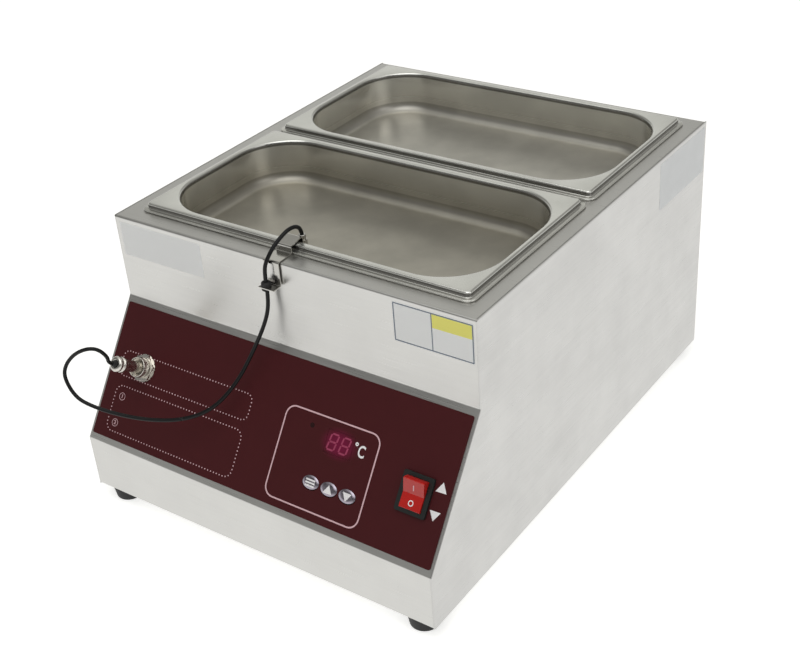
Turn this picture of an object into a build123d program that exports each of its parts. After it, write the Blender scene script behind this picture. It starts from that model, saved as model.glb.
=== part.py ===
from build123d import *
from math import hypot, radians, tan
import os

# Chocolate tempering machine: a folded sheet housing with a sloping control panel, two lift-out
# gastronorm pans over heated wells, and a temperature probe clipped to the front pan's rim.
# Millimetres, Z up, front towards -Y. The origin is the middle of the footprint, at the feet.

# Housing
front_projection = 75.5
upper_wall = 75.0
slope_drop = 104.0
lower_wall = 51.0
sheet = 1.2
bend_radius = 2.0
corner_round = 1.2
flange_width = 12.0
seam_gap = 0.05
deck_seam = 0.4
rear_standout = 2.5

# Feet and base
foot_height = 12.0
foot_radius = 14.0
foot_taper = 2.0
foot_inset_x = 20.0
foot_inset_y = 15.5
base_margin = 3.0

# Gastronorm 1/3 pans
pan_length = 325.0
pan_width = 176.0
pan_sheet = 0.8
pan_depth = 38.0
pan_end_rim = 9.5
pan_side_rim = 11.0
pan_corner = 48.0
pan_ledge = 4.2
pan_rim_height = 6.4
pan_lip_radius = 2.6
pan_rim_radius = 1.8
pan_floor_radius = 9.0
pan_wall_angle = 4.0
pan_ledge_corner = 8.0
pan_ledge_height = 1.8
pan_gap = 5.0
pan_end_margin = 14.5
pan_front_margin = 16.0
pan_rear_margin = 13.0

# Heated wells under the deck
well_sheet = 1.5
well_side_clearance = 3.0
well_floor_clearance = 1.0
well_flange = 6.0
well_floor_radius = 8.0
deck_opening_clearance = 1.6
mat_thickness = 2.0
mat_margin = 14.0
insulation_thickness = 24.0
shield_sheet = 0.8
shield_lip = 10.0
hanger_radius = 3.5
hanger_inset = 7.5

# Control panel: u runs right and v runs up the slope from the panel's middle
overlay_thickness = 0.8
overlay_side_margin = 3.2
overlay_top_margin = 6.2
overlay_bottom_margin = 5.7
window_from_edge, window_v = 107.2, 4.8
window_width, window_height = 25.0, 18.0
window_thickness = 1.6
key_width, key_height = 15.4, 10.8
key_v = -30.7
key_pitch = 17.4
up_key_offset = 2.2
key_flange = 0.7
key_proud = 0.9
key_travel = 0.8
key_clearance = 0.25
led_offset, led_v = 28.3, 11.8
led_radius = 1.5
rocker_from_edge, rocker_v = 31.6, -10.0
bezel_width, bezel_height = 27.0, 31.0
bezel_thickness = 2.2
switch_body_width, switch_body_height = 21.0, 28.2
switch_body_depth = 20.0
rocker_width, rocker_length = 18.4, 24.0
rocker_tilt = 13.0
rocker_edge_rise = 1.4
rocker_valley = 1.0
rocker_clearance = 0.35
fit_clearance = 0.2

# Controller board behind the panel
board_width, board_height = 86.0, 70.0
board_offset, board_v = 9.8, -15.0
board_thickness = 1.6
board_depth = 12.0
board_standoff_radius = 3.0
board_hole_inset = 5.0

# Round threaded probe connector, sizes measured out from the panel
socket_from_edge, socket_v = 39.5, 8.1
socket_radius = 7.0
socket_rear_depth = 14.0
socket_nut_across = 20.6
socket_nut_thickness = 2.4
socket_reach = 6.6
socket_washer_radius = 11.9
socket_flange_radius = 10.0
ring_radius = 8.7
ring_wall = 1.0
ring_start = 4.4
ring_end = 11.0
plug_radius = 4.9
plug_end = 27.6
clamp_radius = 6.6
clamp_end = 37.2
clamp_neck_radius = 4.4
boot_radius = 3.2
boot_end = 40.6

# Probe, clip and cord
cord_diameter = 3.2
clip_sheet = 0.8
clip_left, clip_right = -14.8, 0.4
clip_leg_left = -5.0
clip_wall_gap = 1.2
clip_arch = 2.2
clip_deck_gap = 0.3
clip_tab_drop = 20.0
clip_tab_reach = 9.6
clip_lip_gap = 2.4
clip_hang = 8.0
clip_bend = 1.2
probe_radius = 3.0
probe_x = -3.0
probe_floor_gap = 5.6
probe_rise = 2.3
grommet_x = -10.5
grommet_reach = 5.0
grommet_radius = 4.0
grommet_waist = 2.4
grommet_rise = 3.5
grommet_drop = 3.2

# Rear panel and mains inlet
inlet_from_edge, inlet_z = 59.0, 62.0
inlet_flange_width, inlet_flange_height = 50.0, 25.0
inlet_body_width, inlet_body_height = 28.0, 20.5
inlet_cavity_width, inlet_cavity_height = 24.6, 16.8
inlet_cavity_depth = 17.0
inlet_body_depth = 22.0
inlet_screw_spacing = 40.0
vent_width, vent_height = 46.0, 3.4
vent_pitch = 9.0
vent_rows = 7
screw_radius = 1.9
screw_head_radius = 3.8
screw_head_height = 2.0
screw_length = 8.0

# Levels and depths worked out from the sizes above
housing_width = pan_length + 2 * pan_end_margin
deck_depth = pan_front_margin + 2 * pan_width + pan_gap + pan_rear_margin
pan_opening_length = pan_length - 2 * pan_end_rim
pan_opening_width = pan_width - 2 * pan_side_rim
z_base = foot_height
z_shell = z_base + sheet
z_low = z_base + lower_wall
z_bend = z_low + slope_drop
z_deck = z_bend + upper_wall
overall_depth = front_projection + deck_depth + rear_standout
y_front = -overall_depth / 2
y_wall = y_front + front_projection
y_back = y_wall + deck_depth
y_skin_back = y_back - sheet
half_width = housing_width / 2
inner_x = half_width - sheet
window_u = half_width - window_from_edge
up_key_u = window_u + up_key_offset
key_u = {"set_key": up_key_u - key_pitch, "up_key": up_key_u, "down_key": up_key_u + key_pitch}
led_positions = [(window_u - led_offset, led_v)]
rocker_u = half_width - rocker_from_edge
board_u = window_u - board_offset
socket_u = socket_from_edge - half_width
inlet_x = half_width - inlet_from_edge
pan_pitch = pan_width + pan_gap
front_pan_y = y_wall + pan_front_margin + pan_width / 2
rear_pan_y = front_pan_y + pan_pitch
z_ledge = z_deck + pan_ledge_height
z_rim = z_deck + pan_rim_height
z_pan_floor = z_rim - pan_depth
z_pan_under = z_pan_floor - pan_sheet
z_well_floor = z_pan_under - well_floor_clearance
z_well_under = z_well_floor - well_sheet
z_under_deck = z_deck - sheet
z_mat_under = z_well_under - mat_thickness
z_shield = z_mat_under - insulation_thickness
slope_length = hypot(front_projection, slope_drop)
panel = Plane(
    origin=(0, (y_front + y_wall) / 2, (z_low + z_bend) / 2),
    x_dir=(1, 0, 0),
    z_dir=(0, -slope_drop, front_projection),
)
bowl_length = pan_opening_length + 2 * pan_sheet
bowl_width = pan_opening_width + 2 * pan_sheet
bowl_corner = pan_corner + pan_sheet
deck_opening_length = bowl_length + 2 * deck_opening_clearance
deck_opening_width = bowl_width + 2 * deck_opening_clearance
well_length = bowl_length + 2 * well_side_clearance
well_width = bowl_width + 2 * well_side_clearance
well_corner = bowl_corner + well_side_clearance

# Route of the probe's cord, chosen by hand: from the plug to the clip, then over the pan's rim.
lower_cord_middle = [
    (-138.0, -230.0, 159.0), (-146.0, -236.0, 167.0), (-157.6, -240.0, 159.8), (-170.3, -243.5, 150.2),
    (-169.3, -248.8, 130.3), (-153.3, -247.4, 116.8), (-130.1, -241.0, 110.3), (-99.0, -232.5, 108.4),
    (-67.3, -221.7, 112.2), (-43.8, -208.4, 122.9), (-30.4, -190.6, 142.3), (-22.9, -175.3, 165.2),
    (-13.0, -167.6, 190.0), (-10.5, -162.7, 206.0),
]
upper_cord_middle = [
    (-10.5, -162.7, 236.0), (-9.8, -161.2, 246.0), (-8.2, -154.6, 253.6), (-5.4, -145.8, 258.4),
    (-3.4, -136.6, 261.6), (-3.0, -128.4, 262.2), (-3.0, -123.25, 257.4),
]
cord_exit_run = 4.0


def block(xs, ys, zs):
    """Box between two x, two y and two z values."""
    size = [max(pair) - min(pair) for pair in (xs, ys, zs)]
    middle = [(pair[0] + pair[1]) / 2 for pair in (xs, ys, zs)]
    return Pos(*middle) * Box(*size)


def rounded_plate(length, width, corner, low, high, centre=(0, 0)):
    """Upright prism with a rounded rectangular outline."""
    return Pos(centre[0], centre[1], low) * extrude(RectangleRounded(length, width, corner), high - low)


def upright(radius, low, high, place):
    """Vertical cylinder at an (x, y) place."""
    return Pos(place[0], place[1], (low + high) / 2) * Cylinder(radius, high - low)


def across(radius, low, high, x, z):
    """Cylinder along Y at an (x, z) place."""
    return Pos(x, (low + high) / 2, z) * Rot(90, 0, 0) * Cylinder(radius, high - low)


def panel_disc(radius, low, high, u, v):
    """Cylinder square to the sloping panel."""
    return panel.location * Pos(u, v, (low + high) / 2) * Cylinder(radius, high - low)


def panel_plate(width, height, corner, low, high, u=0.0, v=0.0):
    """Rounded plate lying along the sloping panel."""
    plate = extrude(RectangleRounded(width, height, corner), high - low)
    return panel.location * Pos(u, v, low) * plate


def panel_oval(width, height, low, high, u, v):
    """Oval prism square to the sloping panel."""
    return panel.location * Pos(u, v, low) * extrude(Ellipse(width / 2, height / 2), high - low)


def outline_points():
    """Corners of the skin's side view, from the front bottom edge to the back of the deck."""
    return [
        (y_front, z_shell), (y_front, z_low), (y_wall, z_bend), (y_wall, z_deck), (y_skin_back, z_deck),
    ]


def side_face(rounded_deck_edge):
    """Side view of the skin as a face, with its bends rounded."""
    corners = outline_points()
    if rounded_deck_edge:
        front = FilletPolyline(*corners, radius=bend_radius)
        rest = Polyline(corners[-1], (y_skin_back, z_shell), corners[0])
    else:
        front = FilletPolyline(*corners[:-1], radius=bend_radius)
        rest = Polyline(corners[-2], corners[-1], (y_skin_back, z_shell), corners[0])
    return make_face(Plane.YZ * (front + rest))


def ground_envelope():
    """Whole skin as a solid, with its front corners ground round where the sheets are welded."""
    solid = Pos(-half_width, 0, 0) * extrude(side_face(False), housing_width, dir=(1, 0, 0))
    edges = [
        edge for edge in solid.edges()
        if abs(edge.center().X) > half_width - 0.01
        and edge.center().Y < y_wall + 1
        and z_shell + 1 < edge.center().Z < z_deck - 1
    ]
    return fillet(edges, corner_round)


envelope = ground_envelope()


def deck_openings(low, high, length, width, corner):
    """One rounded prism through the deck for each pan."""
    return [rounded_plate(length, width, corner, low, high, (0, y)) for y in (front_pan_y, rear_pan_y)]


def front_top_cover():
    """One sheet folded into the lower wall, slope, upper wall and deck, with its return flanges."""
    path = Plane.YZ * FilletPolyline(
        (y_front + flange_width, z_shell),
        *outline_points(),
        (y_skin_back, z_deck - flange_width),
        radius=bend_radius,
    )
    width = 2 * (inner_x - seam_gap)
    cover = make_brake_formed(sheet, width, path, side=Side.RIGHT)
    offset_x = -cover.bounding_box().center().X
    cover = (Pos(offset_x, 0, 0) * cover) & envelope
    for hole in deck_openings(z_deck - 10, z_deck + 10, deck_opening_length, deck_opening_width, bowl_corner):
        cover -= hole
    for side in (-1, 1):
        cover -= block(
            (side * (inner_x - deck_seam), side * half_width),
            (y_wall + bend_radius, y_back),
            (z_deck - sheet - 0.5, z_deck + 1),
        )
    for hole in panel_holes(-10, 10):
        cover -= hole
    for x in rear_screw_columns():
        cover -= across(screw_radius + fit_clearance, y_back - 5, y_back + 1, x, z_rear_top_screws)
    for place in base_screw_places():
        cover -= upright(screw_radius + fit_clearance, z_shell - 1, z_shell + sheet + 1, place)
    return cover


def panel_holes(low, high):
    """Cutters through the panel for the window, keys, lamps, switch and connector."""
    holes = [
        panel_plate(window_width + 2 * fit_clearance, window_height + 2 * fit_clearance, 1.0, low, high,
                    window_u, window_v),
        panel_plate(switch_body_width + 2 * fit_clearance, switch_body_height + 2 * fit_clearance, 1.0,
                    low, high, rocker_u, rocker_v),
        panel_disc(socket_radius + fit_clearance, low, high, socket_u, socket_v),
    ]
    gap = 2 * key_clearance
    holes += [panel_oval(key_width + gap, key_height + gap, low, high, u, key_v) for u in key_u.values()]
    holes += [panel_disc(led_radius + fit_clearance, low, high, u, v) for u, v in led_positions]
    return holes


def side_panel(side):
    """Side sheet with its rear and bottom flanges folded in; side is -1 for left, 1 for right."""
    plate = Pos(inner_x if side > 0 else -half_width, 0, 0) * extrude(side_face(True), sheet, dir=(1, 0, 0))
    plate = plate & envelope
    inward = half_width - flange_width
    rear = block(
        (side * inward, side * inner_x),
        (y_skin_back - sheet, y_skin_back),
        (z_shell + flange_width, z_deck - flange_width - 2),
    )
    floor = block(
        (side * inward, side * inner_x),
        (y_front + flange_width + 2, y_skin_back - flange_width),
        (z_shell, z_shell + sheet),
    )
    panel_sheet = plate + rear + floor
    for x in rear_screw_columns():
        for z in rear_screw_rows():
            panel_sheet -= across(screw_radius + fit_clearance, y_back - 5, y_back + 1, x, z)
    for place in base_screw_places():
        panel_sheet -= upright(screw_radius + fit_clearance, z_shell - 1, z_shell + sheet + 1, place)
    return panel_sheet


def rear_screw_columns():
    return (-half_width + flange_width / 2 + 1, half_width - flange_width / 2 - 1)


def rear_screw_rows():
    low = z_shell + flange_width + 18
    return (low, (low + z_deck) / 2 - 10)


z_rear_top_screws = z_deck - flange_width / 2 - 1


def rear_screw_places():
    """(x, z) of every rear panel screw."""
    places = [(x, z) for x in rear_screw_columns() for z in rear_screw_rows()]
    return places + [(x, z_rear_top_screws) for x in rear_screw_columns()]


def base_screw_places():
    """(x, y) of every base plate screw."""
    column = half_width - flange_width / 2 - 1
    last = y_back - foot_inset_y - foot_radius - 2 * screw_head_radius
    rows = (y_front + flange_width / 2 + 1, (y_front + y_back) / 2 + 30, last)
    places = [(side * column, row) for side in (-1, 1) for row in rows[1:]]
    return places + [(side * (column - 40), rows[0]) for side in (-1, 1)]


def foot_places():
    column = half_width - foot_inset_x
    return [(side * column, row) for side in (-1, 1) for row in (y_front + foot_inset_y, y_back - foot_inset_y)]


def hanger_places():
    """(x, y) of the four hangers that carry the heat shield under the deck."""
    column = inner_x - hanger_inset
    rows = (front_pan_y - pan_width / 4, rear_pan_y + pan_width / 4)
    return [(side * column, row) for side in (-1, 1) for row in rows]


def rear_panel():
    """Flat screwed-on rear plate with vent slots and the cut-out for the mains inlet."""
    width = 2 * (half_width - bend_radius)
    low, high = z_shell + base_margin, z_deck - bend_radius
    plate = block((-width / 2, width / 2), (y_skin_back, y_back), (low, high))
    plate -= block(
        (inlet_x - inlet_body_width / 2 - fit_clearance, inlet_x + inlet_body_width / 2 + fit_clearance),
        (y_skin_back - 1, y_back + 1),
        (inlet_z - inlet_body_height / 2 - fit_clearance, inlet_z + inlet_body_height / 2 + fit_clearance),
    )
    for row in range(vent_rows):
        z = z_shell + 90 + row * vent_pitch
        for column in (-1, 0, 1):
            slot = Plane.XZ * SlotOverall(vent_width, vent_height)
            plate -= Pos(column * (vent_width + 10), y_back + 1, z) * extrude(slot, 2 * sheet + 2)
    for x, z in rear_screw_places():
        plate -= across(screw_radius + fit_clearance, y_skin_back - 1, y_back + 1, x, z)
    for side in (-1, 1):
        x = inlet_x + side * inlet_screw_spacing / 2
        plate -= across(screw_radius + fit_clearance, y_skin_back - 1, y_back + 1, x, inlet_z)
    return plate


def base_plate():
    """Flat bottom plate with vent slots, screwed up into the housing's flanges."""
    margin = base_margin
    plate = block(
        (-half_width + margin, half_width - margin), (y_front + margin, y_back - sheet - margin), (z_base, z_shell)
    )
    for row in range(vent_rows):
        y = (y_front + y_back) / 2 + (row - vent_rows / 2) * vent_pitch * 1.6
        for column in (-1, 1):
            slot = SlotOverall(vent_width, vent_height)
            plate -= Pos(column * vent_width, y, z_base - 1) * extrude(slot, sheet + 2)
    for place in base_screw_places() + foot_places():
        plate -= upright(screw_radius + fit_clearance, z_base - 1, z_shell + 1, place)
    return plate


def screw_up(place, head_low, length):
    """Pan-head screw driven upwards, its head below head_low + head height."""
    head = upright(screw_head_radius, head_low, head_low + screw_head_height, place)
    head = fillet(head.edges().sort_by(Axis.Z)[0], 0.8)
    return head + upright(screw_radius, head_low, head_low + screw_head_height + length, place)


def screw_in(x, z, face_y, length):
    """Pan-head screw driven towards -Y, its head on the plane y = face_y."""
    head = across(screw_head_radius, face_y, face_y + screw_head_height, x, z)
    head = fillet(head.edges().sort_by(Axis.Y)[-1], 0.8)
    return head + across(screw_radius, face_y - length, face_y + screw_head_height, x, z)


def foot(place):
    """Tapered rubber foot with a recess for its screw."""
    body = Pos(place[0], place[1], 0) * Cone(
        foot_radius - foot_taper, foot_radius, foot_height, align=(Align.CENTER, Align.CENTER, Align.MIN)
    )
    body = fillet(body.edges().sort_by(Axis.Z)[0], 1.2)
    body -= upright(screw_head_radius + 1.2, -1, foot_height - 4, place)
    return body - upright(screw_radius + fit_clearance, -1, foot_height + 1, place)


def foot_screw(place):
    seat = foot_height - 4
    head = upright(screw_head_radius, seat - screw_head_height, seat, place)
    return head + upright(screw_radius, seat - screw_head_height, z_shell + 6, place)


def hex_nut(place, low, across_flats, hole_radius, thickness):
    nut = extrude(RegularPolygon(across_flats / 2, 6, major_radius=False), thickness)
    nut = Pos(place[0], place[1], low) * nut
    return nut - upright(hole_radius, low - 1, low + thickness + 1, place)


def pan(centre_y):
    """Pressed pan in one sheet: a hemmed ledge on the deck, a raised rim and a tapered bowl."""
    low = z_pan_under - 5
    sheet_solid = pan_block(0, low, 0) - pan_block(pan_sheet, low - 1, 1)
    return Pos(0, centre_y, 0) * sheet_solid


def pan_block(inset, low, extra):
    """Block with the pan's upper form, inset by the sheet's thickness to make its underside."""
    length, width = pan_length - 2 * inset, pan_width - 2 * inset
    rim_length, rim_width = length - 2 * pan_ledge, width - 2 * pan_ledge
    rim_corner = pan_ledge_corner - pan_ledge - inset
    ledge = rounded_plate(length, width, pan_ledge_corner - inset, z_deck - extra, z_ledge - inset)
    rim = rounded_plate(rim_length, rim_width, rim_corner, z_deck, z_rim - inset)
    core = rounded_plate(rim_length + 4 * extra, rim_width + 4 * extra, rim_corner, low, z_deck)
    block_solid = ledge + rim + core
    bowl = rounded_bowl(
        pan_opening_length + 2 * inset, pan_opening_width + 2 * inset, pan_corner + inset,
        pan_depth + inset, pan_floor_radius + inset,
    )
    block_solid -= Pos(0, 0, z_rim) * bowl
    top = block_solid.edges().group_by(Axis.Z)[-1]
    lip = [edge for edge in top if edge_inside(edge)]
    block_solid = fillet(lip, pan_lip_radius - inset)
    outer = [
        edge for edge in block_solid.edges().group_by(Axis.Z)[-1]
        if abs(edge.center().X) > rim_length / 2 - rim_corner or abs(edge.center().Y) > rim_width / 2 - rim_corner
    ]
    return fillet(outer, pan_rim_radius - inset)


def edge_inside(edge):
    """True for edges of the pan's opening."""
    middle = edge @ 0.5
    return abs(middle.X) < pan_opening_length / 2 + 1.5 and abs(middle.Y) < pan_opening_width / 2 + 1.5


def rounded_bowl(length, width, corner, depth, floor_radius):
    """Solid bowl hanging from z = 0, with tapered walls and a rounded floor edge."""
    solid = extrude(RectangleRounded(length, width, corner), -depth, taper=pan_wall_angle)
    return fillet(solid.edges().group_by(Axis.Z)[0], floor_radius)


def heater_well(centre_y):
    """Pressed aluminium well that heats the pan, with a flange under the deck."""
    depth = z_under_deck - z_well_floor
    outer = rounded_bowl(
        well_length + 2 * well_sheet, well_width + 2 * well_sheet, well_corner + well_sheet,
        depth + well_sheet, well_floor_radius + well_sheet,
    )
    inner = rounded_bowl(well_length, well_width, well_corner, depth, well_floor_radius)
    flange = extrude(
        RectangleRounded(well_length + 2 * well_flange, well_width + 2 * well_flange, well_corner + well_flange),
        -well_sheet,
    )
    return Pos(0, centre_y, z_under_deck) * (outer + flange - inner)


def well_floor_size():
    """Length and width of the flat underside of a well."""
    shrink = 2 * ((z_under_deck - z_well_floor) * tan(radians(pan_wall_angle)) + well_floor_radius)
    return well_length - shrink, well_width - shrink


def heater_mat(centre_y):
    """Silicone heating mat bonded under the well."""
    length, width = well_floor_size()
    return rounded_plate(length - mat_margin, width - mat_margin, 12, z_mat_under, z_well_under, (0, centre_y))


def insulation_pad(centre_y):
    length, width = well_floor_size()
    pad = rounded_plate(length, width, 16, z_shield, z_mat_under, (0, centre_y))
    for device in (thermal_cutout(centre_y), well_sensor(centre_y)):
        box = device.bounding_box()
        pad -= block(
            (box.min.X - 1, box.max.X + 1), (box.min.Y - 1, box.max.Y + 1), (z_shield - 1, z_mat_under + 1)
        )
    return pad


def thermal_cutout(centre_y):
    """Button thermostat under the mat, with its two blade terminals."""
    place = (60, centre_y)
    body = upright(8, z_mat_under - 7, z_mat_under, place)
    body += upright(10, z_mat_under - 1.5, z_mat_under, place)
    for side in (-1, 1):
        body += block((60 + side * 4 - 2.4, 60 + side * 4 + 2.4), (centre_y - 0.4, centre_y + 0.4),
                      (z_mat_under - 14, z_mat_under - 7))
    return body


def well_sensor(centre_y):
    """Sensor bead in its ring lug."""
    place = (-60, centre_y)
    return upright(5, z_mat_under - 1.5, z_mat_under, place) + upright(2.5, z_mat_under - 9, z_mat_under - 1.5, place)


def heat_shield():
    """Shallow tray that holds the insulation up against the mats."""
    length = 2 * (inner_x - hanger_inset + hanger_radius + 2)
    low_y, high_y = front_pan_y - pan_width / 2 + 4, rear_pan_y + pan_width / 2 - 4
    tray = block((-length / 2, length / 2), (low_y, high_y), (z_shield - shield_sheet, z_shield + shield_lip))
    tray -= block(
        (-length / 2 + shield_sheet, length / 2 - shield_sheet),
        (low_y + shield_sheet, high_y - shield_sheet),
        (z_shield, z_shield + shield_lip + 1),
    )
    for place in hanger_places():
        tray -= upright(screw_radius + fit_clearance, z_shield - 2, z_shield + 1, place)
    for y in (front_pan_y, rear_pan_y):
        tray -= upright(9, z_shield - 2, z_shield + 1, (60, y))
    return tray


def shield_hangers():
    """Four hexagonal hangers, welded under the deck, that carry the shield."""
    return [hex_nut(place, z_shield, 2 * hanger_radius, screw_radius, z_under_deck - z_shield)
            for place in hanger_places()]


def hanger_screws():
    """Screws up through the shield into its hangers."""
    head_low = z_shield - shield_sheet - screw_head_height
    return [screw_up(place, head_low, screw_length) for place in hanger_places()]


def control_overlay():
    """Printed panel sheet on the slope, with its cut-outs."""
    top = slope_length / 2 - overlay_top_margin
    bottom = -slope_length / 2 + overlay_bottom_margin
    width = housing_width - 2 * overlay_side_margin
    sheet_plate = panel_plate(width, top - bottom, 1.5, 0, overlay_thickness, 0, (top + bottom) / 2)
    for hole in panel_holes(-1, 5):
        sheet_plate -= hole
    return sheet_plate


def display_window():
    """Tinted window, flush with the overlay."""
    top = overlay_thickness
    return panel_plate(window_width, window_height, 0.8, top - window_thickness, top, window_u, window_v)


def display_module():
    """Two-digit display behind the window, with its digits recessed in the face."""
    low = -sheet - board_depth
    high = overlay_thickness - window_thickness - 0.2
    body = panel_plate(window_width - 0.6, window_height - 0.6, 0.4, low, high, window_u, window_v)
    digit_height, digit_width, bar = 13.0, 7.0, 1.4
    for side in (-1, 1):
        ring = Rectangle(digit_width, digit_height) - Rectangle(digit_width - 2 * bar, digit_height - 2 * bar)
        ring += Rectangle(digit_width, bar)
        place = panel.location * Pos(window_u + side * 5.9, window_v, high - 0.4)
        body -= place * extrude(ring, 1)
    return body


def key_cap(u):
    """Oval key: a rounded cap through the panel, a flange behind it and a stem to its switch."""
    back = -sheet
    cap = panel_oval(key_width, key_height, back - 0.6, overlay_thickness + key_proud, u, key_v)
    rim = cap.edges().sort_by(lambda edge: panel.to_local_coords(edge.center()).Z)[-1]
    cap = fillet(rim, 0.6)
    wide = 2 * key_flange
    flange = panel_oval(key_width + wide, key_height + wide, back - 1.3, back - 0.3, u, key_v)
    stem = panel_disc(2.0, back - board_depth + 3.6 + key_travel + 0.3, back - 0.5, u, key_v)
    return cap + flange + stem


def tact_switches():
    """One square push switch on the board behind each key."""
    low = -sheet - board_depth
    switches = []
    for u in key_u.values():
        body = panel_plate(6, 6, 0.5, low, low + 3.6, u, key_v)
        switches.append(body)
    return switches


def indicator_leds():
    """Round lamps that show through the overlay."""
    low = -sheet - board_depth
    leds = []
    for u, v in led_positions:
        led = panel_disc(led_radius, low, overlay_thickness - 0.1, u, v)
        leds.append(led + panel_disc(led_radius + 0.6, low, low + 5, u, v))
    return leds


def board_hole_places():
    half_w, half_h = board_width / 2 - board_hole_inset, board_height / 2 - board_hole_inset
    return [(board_u + a * half_w, board_v + b * half_h) for a in (-1, 1) for b in (-1, 1)]


def controller_board():
    high = -sheet - board_depth
    board = panel_plate(board_width, board_height, 2.0, high - board_thickness, high, board_u, board_v)
    for u, v in board_hole_places():
        board -= panel_disc(screw_radius + fit_clearance, high - 5, high + 5, u, v)
    return board


def board_standoffs():
    """Studs welded behind the slope that carry the board."""
    low, high = -sheet - board_depth, -sheet
    return [
        panel_disc(board_standoff_radius, low, high, u, v) - panel_disc(screw_radius, low - 1, low + 6, u, v)
        for u, v in board_hole_places()
    ]


def board_relay():
    back = -sheet - board_depth - board_thickness
    return panel_plate(19, 15.5, 1.0, back - 15, back, board_u + 18, board_v - 12)


def board_transformer():
    """Small encapsulated transformer on the back of the board."""
    back = -sheet - board_depth - board_thickness
    return panel_plate(32, 27, 1.5, back - 22, back, board_u - 16, board_v - 6)


def board_terminals():
    """Row of wire terminals on the back of the board."""
    back = -sheet - board_depth - board_thickness
    strip = panel_plate(50, 9, 0.8, back - 11, back, board_u, board_v + 22)
    for index in range(6):
        u = board_u - 20 + index * 8
        strip -= panel_disc(2.2, back - 12, back - 8, u, board_v + 22)
    return strip


def switch_bezel():
    """Frame and body of the rocker switch, with the pocket that the rocker turns in."""
    frame = panel_plate(bezel_width, bezel_height, 1.6, overlay_thickness, overlay_thickness + bezel_thickness,
                        rocker_u, rocker_v)
    body = panel_plate(switch_body_width, switch_body_height, 0.8, -switch_body_depth, overlay_thickness,
                       rocker_u, rocker_v)
    pocket = panel_plate(
        rocker_width + 2 * rocker_clearance, rocker_length + 2 * rocker_clearance, 0.4,
        -10, overlay_thickness + bezel_thickness + 1, rocker_u, rocker_v,
    )
    return frame + body - pocket


rocker_pivot_w = overlay_thickness + bezel_thickness


def rocker():
    """Rocker with two sloping faces and ends that are arcs about its pivot; its lower end is pressed."""
    reach = rocker_length / 2
    edge_height = reach * tan(radians(rocker_tilt)) + rocker_edge_rise
    side_view = Polygon(
        (-reach - 1, -5), (-reach, edge_height), (0, rocker_valley), (reach, edge_height), (reach + 1, -5), (0, -8),
        align=None,
    )
    side_view = side_view & Circle(reach + 0.1)
    bar = Pos(-rocker_width / 2, 0, 0) * extrude(Plane.YZ * side_view, rocker_width, dir=(1, 0, 0))
    bar = fillet(bar.edges().filter_by(Axis.X).group_by(Axis.Z)[-1], 0.5)
    return panel.location * Pos(rocker_u, rocker_v, rocker_pivot_w) * Rot(rocker_tilt, 0, 0) * bar


def switch_terminals():
    """Blade terminals on the back of the switch."""
    blades = []
    for u in (-5, 5):
        for v in (-8, 8):
            blade = Pos(u, v, -switch_body_depth - 5) * Box(0.8, 6.3, 10)
            blades.append(panel.location * Pos(rocker_u, rocker_v, 0) * blade)
    return blades


def probe_socket():
    """Panel socket: threaded barrel, rear flange and solder cups."""
    barrel = panel_disc(socket_radius, -sheet - socket_rear_depth, overlay_thickness + socket_reach, socket_u, socket_v)
    flange = panel_disc(socket_flange_radius, -sheet - 2.0, -sheet, socket_u, socket_v)
    body = barrel + flange
    mouth = overlay_thickness + socket_reach
    body -= panel_disc(plug_radius + fit_clearance, mouth - 8, mouth + 1, socket_u, socket_v)
    for index in range(4):
        angle_place = Rot(0, 0, 90 * index) * Pos(3.4, 0, 0)
        cup = angle_place * Pos(0, 0, -sheet - socket_rear_depth - 2) * Cylinder(1.0, 4)
        body += panel.location * Pos(socket_u, socket_v, 0) * cup
    return body


def socket_nut():
    """Hexagonal nut that clamps the socket to the panel."""
    nut = extrude(RegularPolygon(socket_nut_across / 2, 6, major_radius=False, rotation=15), socket_nut_thickness)
    nut = nut - Cylinder(socket_radius + seam_gap, 20)
    return panel.location * Pos(socket_u, socket_v, overlay_thickness + 0.8) * nut


def socket_washer():
    """Toothed washer under the nut."""
    teeth = 12
    disc = Cylinder(socket_washer_radius, 0.8, align=(Align.CENTER, Align.CENTER, Align.MIN))
    for index in range(teeth):
        notch = Rot(0, 0, 360 / teeth * index) * Pos(socket_washer_radius + 0.3, 0, 0.4) * Box(1.6, 1.6, 2)
        disc -= notch
    disc -= Cylinder(socket_radius + seam_gap, 5)
    return panel.location * Pos(socket_u, socket_v, overlay_thickness) * disc


def connector_turned(profile):
    """Solid turned about the connector's axis from (radius, height) points."""
    face = make_face(Polyline(*[(radius, height) for radius, height in profile], close=True))
    solid = revolve(Plane.XZ * face, Axis.Z)
    return panel.location * Pos(socket_u, socket_v, 0) * solid


def coupling_ring():
    """Knurled ring that screws the plug on to the socket; open towards the cord."""
    bore = socket_radius + 0.4
    ring = connector_turned([
        (bore, ring_start), (ring_radius - 0.4, ring_start), (ring_radius, ring_start + 0.5),
        (ring_radius, ring_end - 0.6), (ring_radius - 0.5, ring_end), (ring_radius - ring_wall, ring_end),
        (ring_radius - ring_wall, ring_end - 2.2), (plug_radius + 0.3, ring_end - 2.2),
        (plug_radius + 0.3, ring_end - 3.2), (bore, ring_end - 3.2),
    ])
    flats = 20
    for index in range(flats):
        groove = Rot(0, 0, 360 / flats * index) * Pos(ring_radius + 0.25, 0, (ring_start + ring_end) / 2)
        cutter = panel.location * Pos(socket_u, socket_v, 0) * groove * Box(1.0, 1.1, ring_end - ring_start - 2.4)
        ring -= cutter
    return ring


def plug_body():
    """Plug sleeve that enters the socket, with the threaded tail for the clamp."""
    return connector_turned([
        (0, overlay_thickness + socket_reach - 7.5), (plug_radius, overlay_thickness + socket_reach - 7.5),
        (plug_radius, plug_end - 0.5), (plug_radius - 0.5, plug_end), (0, plug_end),
    ])


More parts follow.
